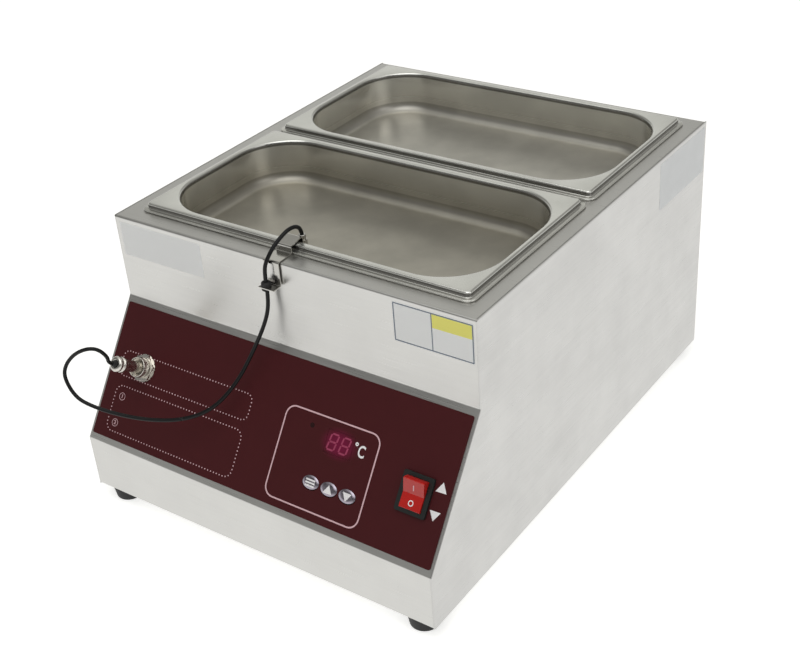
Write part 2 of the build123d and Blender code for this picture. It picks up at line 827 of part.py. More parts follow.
def plug_clamp():
    """Cord clamp: a stepped collar with a groove between two rings."""
    step = (clamp_end - plug_end) / 2
    return connector_turned([
        (0, plug_end), (clamp_radius - 0.6, plug_end), (clamp_radius, plug_end + 0.8),
        (clamp_radius, plug_end + step - 1.4), (clamp_radius - 0.9, plug_end + step - 0.6),
        (clamp_radius - 1.3, plug_end + step), (clamp_radius - 0.9, plug_end + step + 0.6),
        (clamp_radius - 0.4, plug_end + step + 1.2), (clamp_radius - 0.4, clamp_end - 0.8),
        (clamp_radius - 1.1, clamp_end), (0, clamp_end),
    ])


def plug_boot():
    """Rubber boot where the cord leaves the plug."""
    return connector_turned([
        (0, clamp_end), (clamp_neck_radius, clamp_end), (clamp_neck_radius - 0.2, clamp_end + 1.4),
        (boot_radius, clamp_end + 3.4), (cord_diameter / 2 + 0.5, boot_end), (0, boot_end),
    ])


def clip_levels():
    """Heights and depths of the clip's inner face over the rim, ledge and front edge."""
    top = z_rim
    deck = z_deck + clip_deck_gap
    inner_y = front_pan_y - pan_opening_width / 2 + clip_lip_gap
    drop_y = front_pan_y - pan_width / 2 - clip_deck_gap
    leg_y = y_wall - clip_wall_gap
    tab_z = z_deck - clip_tab_drop
    return top, deck, inner_y, drop_y, leg_y, tab_z


def probe_tube_y():
    return clip_levels()[2] + clip_sheet + seam_gap + probe_radius


def probe_clip():
    """Bent stainless strip over the pan's rim, with a leg, a cord tab and the probe's collar."""
    top, deck, inner_y, drop_y, leg_y, tab_z = clip_levels()
    path = Plane.YZ * FilletPolyline(
        (inner_y, top - clip_hang), (inner_y, top + clip_arch), (drop_y, top), (drop_y, deck), (leg_y, deck),
        (leg_y, tab_z), (leg_y - clip_tab_reach, tab_z),
        radius=clip_bend,
    )
    strip = make_brake_formed(clip_sheet, clip_right - clip_left, path, side=Side.LEFT)
    strip = Pos((clip_left + clip_right) / 2 - strip.bounding_box().center().X, 0, 0) * strip
    strip -= block((clip_left - 1, clip_leg_left), (leg_y - 1.5, leg_y + 1), (tab_z + 2.3, deck - 1.7))
    strip -= upright(grommet_waist + 0.3, tab_z - 3, tab_z + 3, (grommet_x, grommet_y()))
    tube_y = probe_tube_y()
    collar = upright(probe_radius + clip_sheet, top - clip_hang, top - 2.0, (probe_x, tube_y))
    strip = strip + collar
    return strip - upright(probe_radius + seam_gap, 0, z_rim + 50, (probe_x, tube_y))


def grommet_y():
    leg_y = clip_levels()[4]
    return leg_y - grommet_reach


def clip_grommet():
    """Rubber grommet in the tab that grips the cord."""
    low = clip_levels()[5]
    high = low + clip_sheet
    place = (grommet_x, grommet_y())
    waist = upright(grommet_waist, low - 0.2, high + 0.2, place)
    upper = upright(grommet_radius, high, high + grommet_rise, place)
    upper = fillet(upper.edges().sort_by(Axis.Z)[-1], 1.6)
    lower = upright(grommet_radius, low - grommet_drop, low, place)
    lower = fillet(lower.edges().sort_by(Axis.Z)[0], 1.2)
    return waist + upper + lower


def probe_tube():
    """Stainless temperature probe that hangs down inside the front pan."""
    tube_y = probe_tube_y()
    tube = upright(probe_radius, z_pan_floor + probe_floor_gap, z_rim + probe_rise, (probe_x, tube_y))
    tube = fillet(tube.edges().sort_by(Axis.Z)[0], probe_radius * 0.7)
    return fillet(tube.edges().sort_by(Axis.Z)[-1], 0.7)


def cord_tube(points, name):
    """Round cord along straight runs joined by arcs as large as the runs allow."""
    corners = [Vector(*point) for point in points]
    runs = [corners[i + 1] - corners[i] for i in range(len(corners) - 1)]
    radii = []
    for before, after in zip(runs, runs[1:]):
        half_turn = radians(before.get_angle(after)) / 2
        radii.append(0.45 * min(before.length, after.length) / tan(half_turn))
    path = FilletPolyline(*corners, radius=radii)
    section = Plane(origin=path @ 0, z_dir=path % 0) * Circle(cord_diameter / 2)
    tube = sweep(section, path=path)
    straight = path.length * 3.14159 * cord_diameter**2 / 4
    print(name, "length", round(path.length, 1), "smallest radius", round(min(radii), 1),
          "volume ratio", round(tube.volume / straight, 4))
    return tube


def lower_cord():
    """Cord from the plug's boot round to the underside of the grommet."""
    ends = [panel.from_local_coords((socket_u, socket_v, w)) for w in (boot_end, boot_end + cord_exit_run)]
    last = (grommet_x, grommet_y(), clip_levels()[5] - grommet_drop)
    return cord_tube([tuple(end) for end in ends] + lower_cord_middle + [last], "lower cord")


def upper_cord():
    """Cord from the grommet over the rim to the top of the probe's tube."""
    first = (grommet_x, grommet_y(), clip_levels()[5] + clip_sheet + grommet_rise)
    last = (probe_x, probe_tube_y(), z_rim + probe_rise)
    return cord_tube([first] + upper_cord_middle + [last], "upper cord")


def power_inlet():
    """Mains inlet: screwed flange and a body with the socket's cavity."""
    flange = Pos(inlet_x, 0, inlet_z) * (
        Plane.XZ * RectangleRounded(inlet_flange_width, inlet_flange_height, 4)
    )
    flange = Pos(0, y_back, 0) * extrude(flange, rear_standout, dir=(0, 1, 0))
    body = block(
        (inlet_x - inlet_body_width / 2, inlet_x + inlet_body_width / 2),
        (y_back - inlet_body_depth, y_back),
        (inlet_z - inlet_body_height / 2, inlet_z + inlet_body_height / 2),
    )
    mouth = y_back + rear_standout
    cavity = block(
        (inlet_x - inlet_cavity_width / 2, inlet_x + inlet_cavity_width / 2),
        (mouth - inlet_cavity_depth, mouth + 1),
        (inlet_z - inlet_cavity_height / 2, inlet_z + inlet_cavity_height / 2),
    )
    lower = [
        edge for edge in cavity.edges().filter_by(Axis.Y) if edge.center().Z < inlet_z
    ]
    cavity = chamfer(lower, 4.0)
    body = flange + body - cavity
    for side in (-1, 1):
        x = inlet_x + side * inlet_screw_spacing / 2
        body -= across(screw_radius + fit_clearance, y_back - 1, mouth + 1, x, inlet_z)
    for x, z in inlet_pin_places():
        body -= block((x - 2.1, x + 2.1), (y_back - inlet_body_depth - 1, y_back - 5), (z - 1.1, z + 1.1))
    return body


def inlet_pin_places():
    return [(inlet_x - 7, inlet_z - 2), (inlet_x, inlet_z + 2.5), (inlet_x + 7, inlet_z - 2)]


def inlet_pins():
    """Three flat pins through the inlet's back wall."""
    mouth = y_back + rear_standout
    return [
        block((x - 2, x + 2), (y_back - inlet_body_depth - 8, mouth - 4.5), (z - 1, z + 1))
        for x, z in inlet_pin_places()
    ]


def inlet_screws():
    length = screw_length - rear_standout
    return [
        across(screw_radius, y_back - length, y_back + rear_standout - 0.8, inlet_x + side * inlet_screw_spacing / 2,
               inlet_z)
        for side in (-1, 1)
    ]


terminal_x = inlet_x - 58
terminal_y = y_back - 79.5
terminal_height = 18.0


def terminal_block():
    """Six-way terminal block on the base plate."""
    block_solid = block((terminal_x - 32, terminal_x + 32), (terminal_y - 11, terminal_y + 11),
                        (z_shell, z_shell + terminal_height))
    for index in range(6):
        x = terminal_x - 26 + index * 10.4
        for side in (-1, 1):
            place = (x, terminal_y + side * 5)
            block_solid -= upright(2.6, z_shell + terminal_height - 5, z_shell + terminal_height + 1, place)
        if index < 5:
            x_fin = x + 5.2
            block_solid += block((x_fin - 0.6, x_fin + 0.6), (terminal_y - 11, terminal_y + 11),
                                 (z_shell + terminal_height - 1, z_shell + terminal_height + 3))
    return block_solid


def earth_stud():
    """Threaded earth stud on the base plate with its nut."""
    place = (inlet_x, terminal_y)
    return upright(2.0, z_shell, z_shell + 14, place) + (
        hex_nut(place, z_shell, 7, 1.9, 3.2)
    )


harness_radius = 2.0


def harness_run(points, bend):
    path = FilletPolyline(*points, radius=bend)
    section = Plane(origin=path @ 0, z_dir=path % 0) * Circle(harness_radius)
    return sweep(section, path=path)


def wiring_harness():
    """Insulated leads between the inlet, terminal block, switch, board and heaters."""
    top = z_shell + terminal_height
    rear_y = y_back - inlet_body_depth - 8
    leads = []
    for index, (x, z) in enumerate(inlet_pin_places()[:1]):
        end_x = terminal_x + 26 - index * 10.4
        leads.append(harness_run(
            [(x, rear_y, z), (x, rear_y - 14, z), (end_x, terminal_y + 5, top + 18), (end_x, terminal_y + 5, top - 5)],
            5,
        ))
    for index, y in enumerate((front_pan_y, rear_pan_y)):
        x = terminal_x - 26 + index * 10.4
        low = z_mat_under - 14
        leads.append(harness_run(
            [(56, y, low), (56, y, z_shield - 20), (x, terminal_y - 30, z_shield - 50),
             (x, terminal_y - 5, top + 14), (x, terminal_y - 5, top - 5)],
            8,
        ))
    for index, (u, v, w) in enumerate((
        (rocker_u - 5, rocker_v + 8, -switch_body_depth - 10),
        (board_u - 4, board_v + 22, -sheet - board_depth - board_thickness - 8),
    )):
        start = panel.from_local_coords((u, v, w))
        inward = panel.from_local_coords((u, v, w - 22))
        x = terminal_x - 5.2 + index * 10.4
        leads.append(harness_run(
            [tuple(start), tuple(inward), (x, inward.Y + 60, z_shell + 40), (x, terminal_y - 30, top + 14),
             (x, terminal_y - 5, top + 12), (x, terminal_y - 5, top - 5)],
            6,
        ))
    return leads


nodes = {
    "front_top_cover": front_top_cover(),
    "left_side_panel": side_panel(-1),
    "right_side_panel": side_panel(1),
    "rear_panel": rear_panel(),
    "base_plate": base_plate(),
    "rear_screws": [screw_in(x, z, y_back, screw_length) for x, z in rear_screw_places()],
    "base_screws": [screw_up(place, z_base - screw_head_height, screw_length) for place in base_screw_places()],
    "feet": [foot(place) for place in foot_places()],
    "foot_screws": [foot_screw(place) for place in foot_places()],
    "foot_nuts": [hex_nut(place, z_shell, 7, screw_radius + seam_gap, 3.2) for place in foot_places()],
    "front_pan": pan(front_pan_y),
    "rear_pan": pan(rear_pan_y),
    "front_heater_well": heater_well(front_pan_y),
    "rear_heater_well": heater_well(rear_pan_y),
    "front_heater_mat": heater_mat(front_pan_y),
    "rear_heater_mat": heater_mat(rear_pan_y),
    "front_insulation_pad": insulation_pad(front_pan_y),
    "rear_insulation_pad": insulation_pad(rear_pan_y),
    "thermal_cutouts": [thermal_cutout(y) for y in (front_pan_y, rear_pan_y)],
    "well_sensors": [well_sensor(y) for y in (front_pan_y, rear_pan_y)],
    "heat_shield": heat_shield(),
    "shield_hangers": shield_hangers(),
    "hanger_screws": hanger_screws(),
    "control_overlay": control_overlay(),
    "display_window": display_window(),
    "display_module": display_module(),
    "indicator_leds": indicator_leds(),
    "tact_switches": tact_switches(),
    "controller_board": controller_board(),
    "board_standoffs": board_standoffs(),
    "board_relay": board_relay(),
    "board_transformer": board_transformer(),
    "board_terminals": board_terminals(),
    "switch_bezel": switch_bezel(),
    "rocker": rocker(),
    "switch_terminals": switch_terminals(),
    "probe_socket": probe_socket(),
    "socket_washer": socket_washer(),
    "socket_nut": socket_nut(),
    "coupling_ring": coupling_ring(),
    "plug_body": plug_body(),
    "plug_clamp": plug_clamp(),
    "plug_boot": plug_boot(),
    "probe_clip": probe_clip(),
    "clip_grommet": clip_grommet(),
    "probe_tube": probe_tube(),
    "probe_cord_lower": lower_cord(),
    "probe_cord_upper": upper_cord(),
    "power_inlet": power_inlet(),
    "inlet_pins": inlet_pins(),
    "inlet_screws": inlet_screws(),
    "terminal_block": terminal_block(),
    "earth_stud": earth_stud(),
    "wiring_harness": wiring_harness(),
}
nodes.update({name: key_cap(u) for name, u in key_u.items()})

os.makedirs("parts", exist_ok=True)
for name, shape in nodes.items():
    solids = shape if isinstance(shape, list) else [shape]
    node = Compound(children=[solid for item in solids for solid in item.solids()])
    node.label = name
    export_step(node, "parts/" + name + ".step")
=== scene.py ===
import math

import bpy
import numpy as np
from mathutils import Matrix, Vector


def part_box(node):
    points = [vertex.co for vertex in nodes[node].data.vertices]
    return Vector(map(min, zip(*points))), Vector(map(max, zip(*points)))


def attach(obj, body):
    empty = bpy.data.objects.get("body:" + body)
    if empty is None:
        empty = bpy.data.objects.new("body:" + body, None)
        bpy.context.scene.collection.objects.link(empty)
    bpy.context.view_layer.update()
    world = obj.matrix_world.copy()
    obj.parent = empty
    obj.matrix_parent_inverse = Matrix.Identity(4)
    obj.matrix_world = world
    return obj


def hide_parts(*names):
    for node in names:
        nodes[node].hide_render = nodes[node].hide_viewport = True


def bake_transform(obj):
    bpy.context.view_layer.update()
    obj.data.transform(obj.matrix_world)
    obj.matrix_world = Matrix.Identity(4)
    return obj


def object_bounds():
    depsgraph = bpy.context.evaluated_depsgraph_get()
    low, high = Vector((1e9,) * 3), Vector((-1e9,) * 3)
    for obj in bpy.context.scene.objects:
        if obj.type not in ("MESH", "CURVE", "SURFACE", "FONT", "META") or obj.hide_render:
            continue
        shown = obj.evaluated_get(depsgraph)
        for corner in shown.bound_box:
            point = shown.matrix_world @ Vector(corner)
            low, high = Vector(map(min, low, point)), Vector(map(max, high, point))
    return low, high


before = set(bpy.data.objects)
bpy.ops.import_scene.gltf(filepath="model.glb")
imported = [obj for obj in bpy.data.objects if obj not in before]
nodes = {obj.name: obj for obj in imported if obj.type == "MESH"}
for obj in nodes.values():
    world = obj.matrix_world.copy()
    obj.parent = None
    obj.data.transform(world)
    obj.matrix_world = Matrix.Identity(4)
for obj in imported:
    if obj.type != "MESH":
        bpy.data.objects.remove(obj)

cad_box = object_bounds()
MM = 0.001

# Places and sizes that the dressed pieces share with the solids, in metres: side faces by their x,
# front faces by their y, and levels by their height over the floor.
LEFT, RIGHT = cad_box[0][0], cad_box[1][0]
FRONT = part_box("front_top_cover")[0].y
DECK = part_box("front_top_cover")[1].z
UPPER_WALL = -156.5 * MM
SLOPE_LOW = 63.0 * MM
SLOPE_HIGH = 167.0 * MM
OVERLAY = 0.8 * MM
PAN_DEPTH = 38.0 * MM
PAN_LEDGE = DECK + 1.8 * MM
PAN_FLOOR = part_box("front_pan")[1].z - PAN_DEPTH
SLOPE_ANGLE = math.atan2(SLOPE_HIGH - SLOPE_LOW, UPPER_WALL - FRONT)

# Thickness of ink, which is drawn thicker than it is, and of a sticker.
PRINT = 0.05 * MM
STICKER = 0.12 * MM

# Share of their size by which letters are drawn bolder.
LETTER_WEIGHT = 0.018

# The sloping panel's own frame: x runs right, y runs up the slope and z stands off the sheet.
PANEL = Matrix.Translation(
    (0.0, (FRONT + UPPER_WALL) / 2, (SLOPE_LOW + SLOPE_HIGH) / 2)
) @ Matrix.Rotation(SLOPE_ANGLE, 4, "X")


# Making meshes


def add_object(name, data):
    """New object for this data, in the scene."""
    made = bpy.data.objects.new(name, data)
    bpy.context.scene.collection.objects.link(made)
    return made


def curve_to_mesh(name, curve):
    """Mesh that a curve or a text makes."""
    helper = add_object(name, curve)
    bpy.context.view_layer.update()
    mesh = bpy.data.meshes.new_from_object(helper.evaluated_get(bpy.context.evaluated_depsgraph_get()))
    bpy.data.objects.remove(helper)
    return mesh


def grid_quads(rows, columns, close_rows=False, close_columns=False):
    """Quads that join neighbours on a grid of points, each as four point numbers."""
    index = np.arange(rows * columns).reshape(rows, columns)
    if close_rows:
        index = np.vstack([index, index[:1]])
    if close_columns:
        index = np.hstack([index, index[:, :1]])
    corners = [index[:-1, :-1], index[:-1, 1:], index[1:, 1:], index[1:, :-1]]
    return np.stack(corners, axis=-1).reshape(-1, 4).tolist()


def surface(name, points, body, material, close_rows=False, close_columns=False):
    """Smooth piece from a grid of points of shape (rows, columns, 3), riding on its body."""
    mesh = bpy.data.meshes.new(name)
    quads = grid_quads(*points.shape[:2], close_rows, close_columns)
    mesh.from_pydata(points.reshape(-1, 3), [], quads)
    return finish_mesh(name, mesh, body, material, smooth=True)


def finish_mesh(name, mesh, body, material, smooth):
    """Object for a mesh that is already in its place, with its material, riding on its body."""
    mesh.polygons.foreach_set("use_smooth", np.full(len(mesh.polygons), smooth))
    mesh.materials.append(material)
    piece = add_object(name, mesh)
    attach(piece, body)
    return piece


def weld(piece):
    """Closes poles: a Weld modifier merges the points that lie within a thousandth of a millimetre."""
    modifier = piece.modifiers.new("weld", "WELD")
    modifier.merge_threshold = 0.001 * MM


def in_place(grid, place):
    """Grid of points moved by a placing matrix."""
    return grid @ np.array(place.to_3x3()).T + np.array(place.translation)


def rounded_ring(half_length, half_width, corner, height, per_corner=14, per_side=6):
    """Points round a rounded rectangle: four quarter circles of the corner radius, joined by sides."""
    turn = np.linspace(0.0, math.pi / 2, per_corner)
    points = []
    for quarter, (sx, sy) in enumerate(((1, 1), (-1, 1), (-1, -1), (1, -1))):
        angle = turn + quarter * math.pi / 2
        x = sx * (half_length - corner) + corner * np.cos(angle)
        y = sy * (half_width - corner) + corner * np.sin(angle)
        points.append(np.stack([x, y], axis=1))
    loop = []
    for quarter in range(4):
        here, after = points[quarter], points[(quarter + 1) % 4]
        share = np.linspace(0.0, 1.0, per_side + 2)[1:-1, None]
        loop += [here, here[-1] * (1 - share) + after[0] * share]
    ring = np.vstack(loop)
    return np.column_stack([ring, np.full(len(ring), height)])


def turned(name, profile, place, body, material, segments=64, radius_change=None):
    """Turned piece: a closed (radius, height) profile carried round the z axis of the place matrix. The
    profile runs from the bore up the outside and back; it is taken backwards, so that faces point out."""
    profile = np.asarray(profile, float)[::-1] * MM
    angle = np.linspace(0, 2 * math.pi, segments, endpoint=False)
    radius = profile[:, 0][None, :] * np.ones((segments, 1))
    if radius_change is not None:
        radius = radius + radius_change(angle[:, None], profile[None, :, 0], profile[None, :, 1])
    grid = np.stack([
        radius * np.cos(angle)[:, None],
        radius * np.sin(angle)[:, None],
        np.broadcast_to(profile[:, 1], radius.shape),
    ], axis=-1)
    return surface(name, in_place(grid, place), body, material, close_rows=True, close_columns=True)


def flat_marks(name, outlines, texts, place, thickness, body, material):
    """Ink or sheet standing off a flat face: filled outlines, where an outline inside another is a hole,
    and letters, each text with its size, its place and its width against its height."""
    curve = bpy.data.curves.new(name, "CURVE")
    curve.dimensions = "2D"
    curve.fill_mode = "BOTH"
    curve.extrude = thickness / 2
    for outline in outlines:
        outline = np.asarray(outline, float) * MM
        count = len(outline)
        spline = curve.splines.new("POLY")
        spline.points.add(count - 1)
        spline.points.foreach_set("co", np.column_stack([outline, np.zeros(count), np.ones(count)]).ravel())
        spline.use_cyclic_u = True
    parts = [(curve, Matrix.Identity(4))]
    for words, size, x, y, narrow in texts:
        letters = bpy.data.curves.new(name + "_letters", "FONT")
        letters.body = words
        letters.size = size * MM
        letters.extrude = thickness / 2
        letters.offset = size * LETTER_WEIGHT * MM
        letters.align_x = "CENTER"
        letters.align_y = "CENTER"
        shift = Matrix.Translation((x * MM, y * MM, 0)) @ Matrix.Diagonal((narrow, 1, 1, 1))
        parts.append((letters, shift))
    points, faces = [], []
    for data, shift in parts:
        flat = curve_to_mesh(name + "_outline", data)
        flat.transform(place @ shift @ Matrix.Translation((0, 0, thickness / 2)))
        faces += [[len(points) + i for i in polygon.vertices] for polygon in flat.polygons]
        points += [tuple(vertex.co) for vertex in flat.vertices]
        bpy.data.meshes.remove(flat)
    mesh = bpy.data.meshes.new(name)
    mesh.from_pydata(points, [], faces)
    finish_mesh(name, mesh, body, material, smooth=False)


def rectangle(x0, y0, x1, y1, corner=0.0, steps=8):
    """Outline of a rounded rectangle between two corners, in millimetres."""
    if corner == 0.0:
        return [(x0, y0), (x1, y0), (x1, y1), (x0, y1)]
    ring = rounded_ring((x1 - x0) / 2, (y1 - y0) / 2, corner, 0.0, steps, 0)[:, :2]
    return ring + np.array([(x0 + x1) / 2, (y0 + y1) / 2])


def circle(x, y, radius, steps=28):
    """Outline of a circle, in millimetres."""
    angle = np.linspace(0, 2 * math.pi, steps, endpoint=False)
    return np.column_stack([x + radius * np.cos(angle), y + radius * np.sin(angle)])


def dots_round(x0, y0, x1, y1, corner, pitch=3.1, radius=0.6):
    """Small dots spaced evenly along a rounded rectangle."""
    line = rectangle(x0, y0, x1, y1, corner)
    line = np.vstack([line, line[:1]])
    step = np.hypot(*np.diff(line, axis=0).T)
    along = np.concatenate([[0.0], np.cumsum(step)])
    count = int(along[-1] / pitch)
    where = np.linspace(0, along[-1], count, endpoint=False)
    x = np.interp(where, along, line[:, 0])
    y = np.interp(where, along, line[:, 1])
    return [circle(a, b, radius, 6) for a, b in zip(x, y)]


# Materials

# Parts of a noise pattern's range: its middle, where most of it lies, and a wider part.
MIDDLE = {"From Min": 0.35, "From Max": 0.65}
WIDE = {"From Min": 0.3, "From Max": 0.7}


def linear(code, share=1.0):
    """Linear colour of an sRGB hex code, times a share."""
    value = np.array([int(code[i:i + 2], 16) for i in (1, 3, 5)]) / 255
    value = np.where(value <= 0.04045, value / 12.92, ((value + 0.055) / 1.055) ** 2.4) * share
    return (*value.tolist(), 1.0)


def add_node(tree, kind, inputs=None, **settings):
    """Adds a node, sets its properties, sets or links its inputs, and gives back its first output.
    Inputs go by name, or by number where names repeat: the two colours of a Mix node are 6 and 7."""
    made = tree.nodes.new("ShaderNode" + kind)
    for name, value in settings.items():
        setattr(made, name, value)
    for name, value in (inputs or {}).items():
        if isinstance(value, bpy.types.NodeSocket):
            tree.links.new(value, made.inputs[name])
        else:
            made.inputs[name].default_value = value
    return next((socket for socket in made.outputs if socket.enabled), None)


def new_material(name):
    """Material with an empty node tree but for its coordinates, and the piece's own place in metres."""
    material = bpy.data.materials.new(name)
    material.use_nodes = True
    tree = material.node_tree
    tree.nodes.clear()
    place = add_node(tree, "TexCoord").node.outputs["Object"]
    return material, tree, place


def spacing(size):
    """Scale of a noise whose features are this many millimetres apart."""
    return 1 / (size * MM)


def two_tones(tree, pattern, tint, change):
    """Colour that goes over the middle of a pattern from a darker tint to the tint itself. change is
    the share of light that the darker one lacks."""
    share = add_node(tree, "MapRange", {"Value": pattern, **MIDDLE})
    return add_node(tree, "Mix", {0: share, 6: linear(tint, 1 - change), 7: linear(tint)}, data_type="RGBA")


def brushed_stainless(name, grain, tint, rough, cloud):
    """Stainless sheet with a brushed finish. Its scratches run along one axis, so reflections are soft and
    streaked; real ones are some 0.05 mm apart and these 0.5 mm, so that they show. Handling leaves it
    cloudy in patches 50 mm across, and the level deck is painted darker all over, as painted shade. grain
    is the stretch of the scratches, and cloud the share of light that the patches lack."""
    material, tree, place = new_material(name)
    along = add_node(tree, "Mapping", {"Vector": place, "Scale": grain})
    scratches = add_node(tree, "TexNoise", {"Vector": along, "Scale": spacing(0.5), "Detail": 2.0})
    streaks = add_node(tree, "TexNoise", {"Vector": along, "Scale": spacing(2.38), "Detail": 3.0})
    clouds = add_node(tree, "TexNoise", {
        "Vector": place, "Scale": spacing(50.0), "Detail": 4.0, "Roughness": 0.6,
    })
    level = add_node(tree, "Math", {0: streaks, 1: 0.35, 2: clouds}, operation="MULTIPLY_ADD")
    share = add_node(tree, "MapRange", {"Value": level, "From Min": 0.45, "From Max": 0.9})
    upright = add_node(tree, "Mix", {
        0: share, 6: linear(tint, 1 - cloud), 7: linear(tint),
    }, data_type="RGBA")
    height = add_node(tree, "SeparateXYZ", {0: place}).node.outputs["Z"]
    # Painted shade: the level deck's colour is mixed 16 percent towards a near-black.
    deck_painted_shade = add_node(tree, "MapRange", {
        "Value": height, "From Min": DECK - 1.2 * MM, "From Max": DECK - 0.4 * MM, "To Max": 0.16,
    })
    colour = add_node(tree, "Mix", {0: deck_painted_shade, 6: upright, 7: linear("#2e2c2a")}, data_type="RGBA")
    gloss = add_node(tree, "MapRange", {
        "Value": scratches, **WIDE, "To Min": rough - 0.05, "To Max": rough + 0.05,
    })
    relief = add_node(tree, "Bump", {"Height": scratches, "Distance": 0.03 * MM, "Strength": 0.35})
    shader = add_node(tree, "BsdfPrincipled", {
        "Metallic": 1.0, "Base Color": colour, "Roughness": gloss, "Normal": relief,
    })
    add_node(tree, "OutputMaterial", {"Surface": shader})
    return material


def satin_steel(name, tint, rough, wave):
    """Pressed stainless or aluminium with a satin polish: drawing leaves shallow waves some 60 mm
    long, which bend the soft reflections, and faint stains some 30 mm across. wave is the waves' depth
    in millimetres."""
    material, tree, place = new_material(name)
    waves = add_node(tree, "TexNoise", {"Vector": place, "Scale": spacing(62.5), "Detail": 1.0})
    stains = add_node(tree, "TexNoise", {"Vector": place, "Scale": spacing(28.57), "Detail": 3.0})
    gloss = add_node(tree, "MapRange", {
        "Value": stains, **WIDE, "To Min": rough - 0.03, "To Max": rough + 0.03,
    })
    relief = add_node(tree, "Bump", {"Height": waves, "Distance": wave * MM})
    colour = two_tones(tree, stains, tint, 0.1)
    shader = add_node(tree, "BsdfPrincipled", {
        "Metallic": 1.0, "Base Color": colour, "Roughness": gloss, "Normal": relief,
    })
    add_node(tree, "OutputMaterial", {"Surface": shader})
    return material


def drawn_pan_steel(name, rim_tint, floor_tint):
    """Deep-drawn stainless of a food pan: the flat rim is bright and satin, the walls still mirror in soft
    upright bands, and the floor is darker and scatters more. The bend round the floor and the step under
    the rim are painted dark, as painted shade. Faint stains are 30 mm across, and the drawing leaves waves
    some 60 mm long. All the changes go by height."""
    material, tree, place = new_material(name)
    height = add_node(tree, "SeparateXYZ", {0: place}).node.outputs["Z"]
    rim = PAN_FLOOR + PAN_DEPTH
    waves = add_node(tree, "TexNoise", {"Vector": place, "Scale": spacing(62.5), "Detail": 1.0})
    stains = add_node(tree, "TexNoise", {"Vector": place, "Scale": spacing(28.57), "Detail": 3.0})
    share = add_node(tree, "MapRange", {"Value": height, "From Min": PAN_FLOOR + 9 * MM, "From Max": rim})
    clean = add_node(tree, "Mix", {0: share, 6: linear(floor_tint), 7: linear(rim_tint)}, data_type="RGBA")
    stained = add_node(tree, "Mix", {
        0: share, 6: linear(floor_tint, 0.86), 7: linear(rim_tint, 0.92),
    }, data_type="RGBA")
    patch = add_node(tree, "MapRange", {"Value": stains, **MIDDLE})
    sheet = add_node(tree, "Mix", {0: patch, 6: stained, 7: clean}, data_type="RGBA")
    over_floor = add_node(tree, "MapRange", {
        "Value": height, "From Min": PAN_FLOOR + 0.3 * MM, "From Max": PAN_FLOOR + 1.5 * MM,
    })
    under_wall = add_node(tree, "MapRange", {
        "Value": height, "From Min": PAN_FLOOR + 9.5 * MM, "From Max": PAN_FLOOR + 8.5 * MM, "To Max": 0.34,
    })
    over_ledge = add_node(tree, "MapRange", {
        "Value": height, "From Min": PAN_LEDGE + 0.1 * MM, "From Max": PAN_LEDGE + 0.6 * MM,
    })
    under_rim = add_node(tree, "MapRange", {
        "Value": height, "From Min": rim - 0.9 * MM, "From Max": rim - 1.6 * MM, "To Max": 0.72,
    })
    # Painted shade: the bend round the floor and the step under the rim are mixed towards a dark brown.
    bend_painted_shade = add_node(tree, "Math", {0: over_floor, 1: under_wall}, operation="MULTIPLY")
    step_painted_shade = add_node(tree, "Math", {0: over_ledge, 1: under_rim}, operation="MULTIPLY")
    painted_shade = add_node(tree, "Math", {0: bend_painted_shade, 1: step_painted_shade}, operation="MAXIMUM")
    colour = add_node(tree, "Mix", {0: painted_shade, 6: sheet, 7: linear("#38322c")}, data_type="RGBA")
    gloss = add_node(tree, "MapRange", {
        "Value": height, "From Min": PAN_FLOOR + 8 * MM, "From Max": PAN_FLOOR + 16 * MM,
        "To Min": 0.38, "To Max": 0.24,
    })
    metal = add_node(tree, "MapRange", {
        "Value": height, "From Min": PAN_FLOOR + 2 * MM, "From Max": PAN_FLOOR + 12 * MM,
        "To Min": 0.84, "To Max": 0.95,
    })
    relief = add_node(tree, "Bump", {"Height": waves, "Distance": 0.2 * MM})
    shader = add_node(tree, "BsdfPrincipled", {
        "Metallic": metal, "Base Color": colour, "Roughness": gloss, "Normal": relief,
    })
    add_node(tree, "OutputMaterial", {"Surface": shader})
    return material


def plain_metal(name, tint, rough, wear=0.08):
    """Plated or machined metal: an even sheen with faint handling marks about 3 mm across. wear is the
    share of light that the marks lack."""
    material, tree, place = new_material(name)
    marks = add_node(tree, "TexNoise", {"Vector": place, "Scale": spacing(3.03), "Detail": 4.0})
    gloss = add_node(tree, "MapRange", {
        "Value": marks, **WIDE, "To Min": rough - 0.04, "To Max": rough + 0.06,
    })
    shader = add_node(tree, "BsdfPrincipled", {
        "Metallic": 1.0, "Base Color": two_tones(tree, marks, tint, wear), "Roughness": gloss,
    })
    add_node(tree, "OutputMaterial", {"Surface": shader})
    return material


def moulded(name, tint, rough, grain=0.833, depth=0.02, change=0.1, more=None):
    """Moulded plastic, rubber, ink or cast resin: a fine even grain breaks up the gloss, and the
    colour varies a little, in patches 17 mm across, with the flow of the material. grain is the
    distance between its bumps and depth their height, in millimetres; change is the share of light
    that the darker patches lack, and more holds further inputs of the shader."""
    material, tree, place = new_material(name)
    fine = add_node(tree, "TexNoise", {"Vector": place, "Scale": spacing(grain), "Detail": 3.0})
    broad = add_node(tree, "TexNoise", {"Vector": place, "Scale": spacing(16.67), "Detail": 2.0})
    gloss = add_node(tree, "MapRange", {
        "Value": fine, **WIDE, "To Min": rough - 0.05, "To Max": rough + 0.05,
    })
    relief = add_node(tree, "Bump", {"Height": fine, "Distance": depth * MM})
    shader = add_node(tree, "BsdfPrincipled", {
        "Base Color": two_tones(tree, broad, tint, change), "Roughness": gloss, "Normal": relief,
        **(more or {}),
    })
    add_node(tree, "OutputMaterial", {"Surface": shader})
    return material


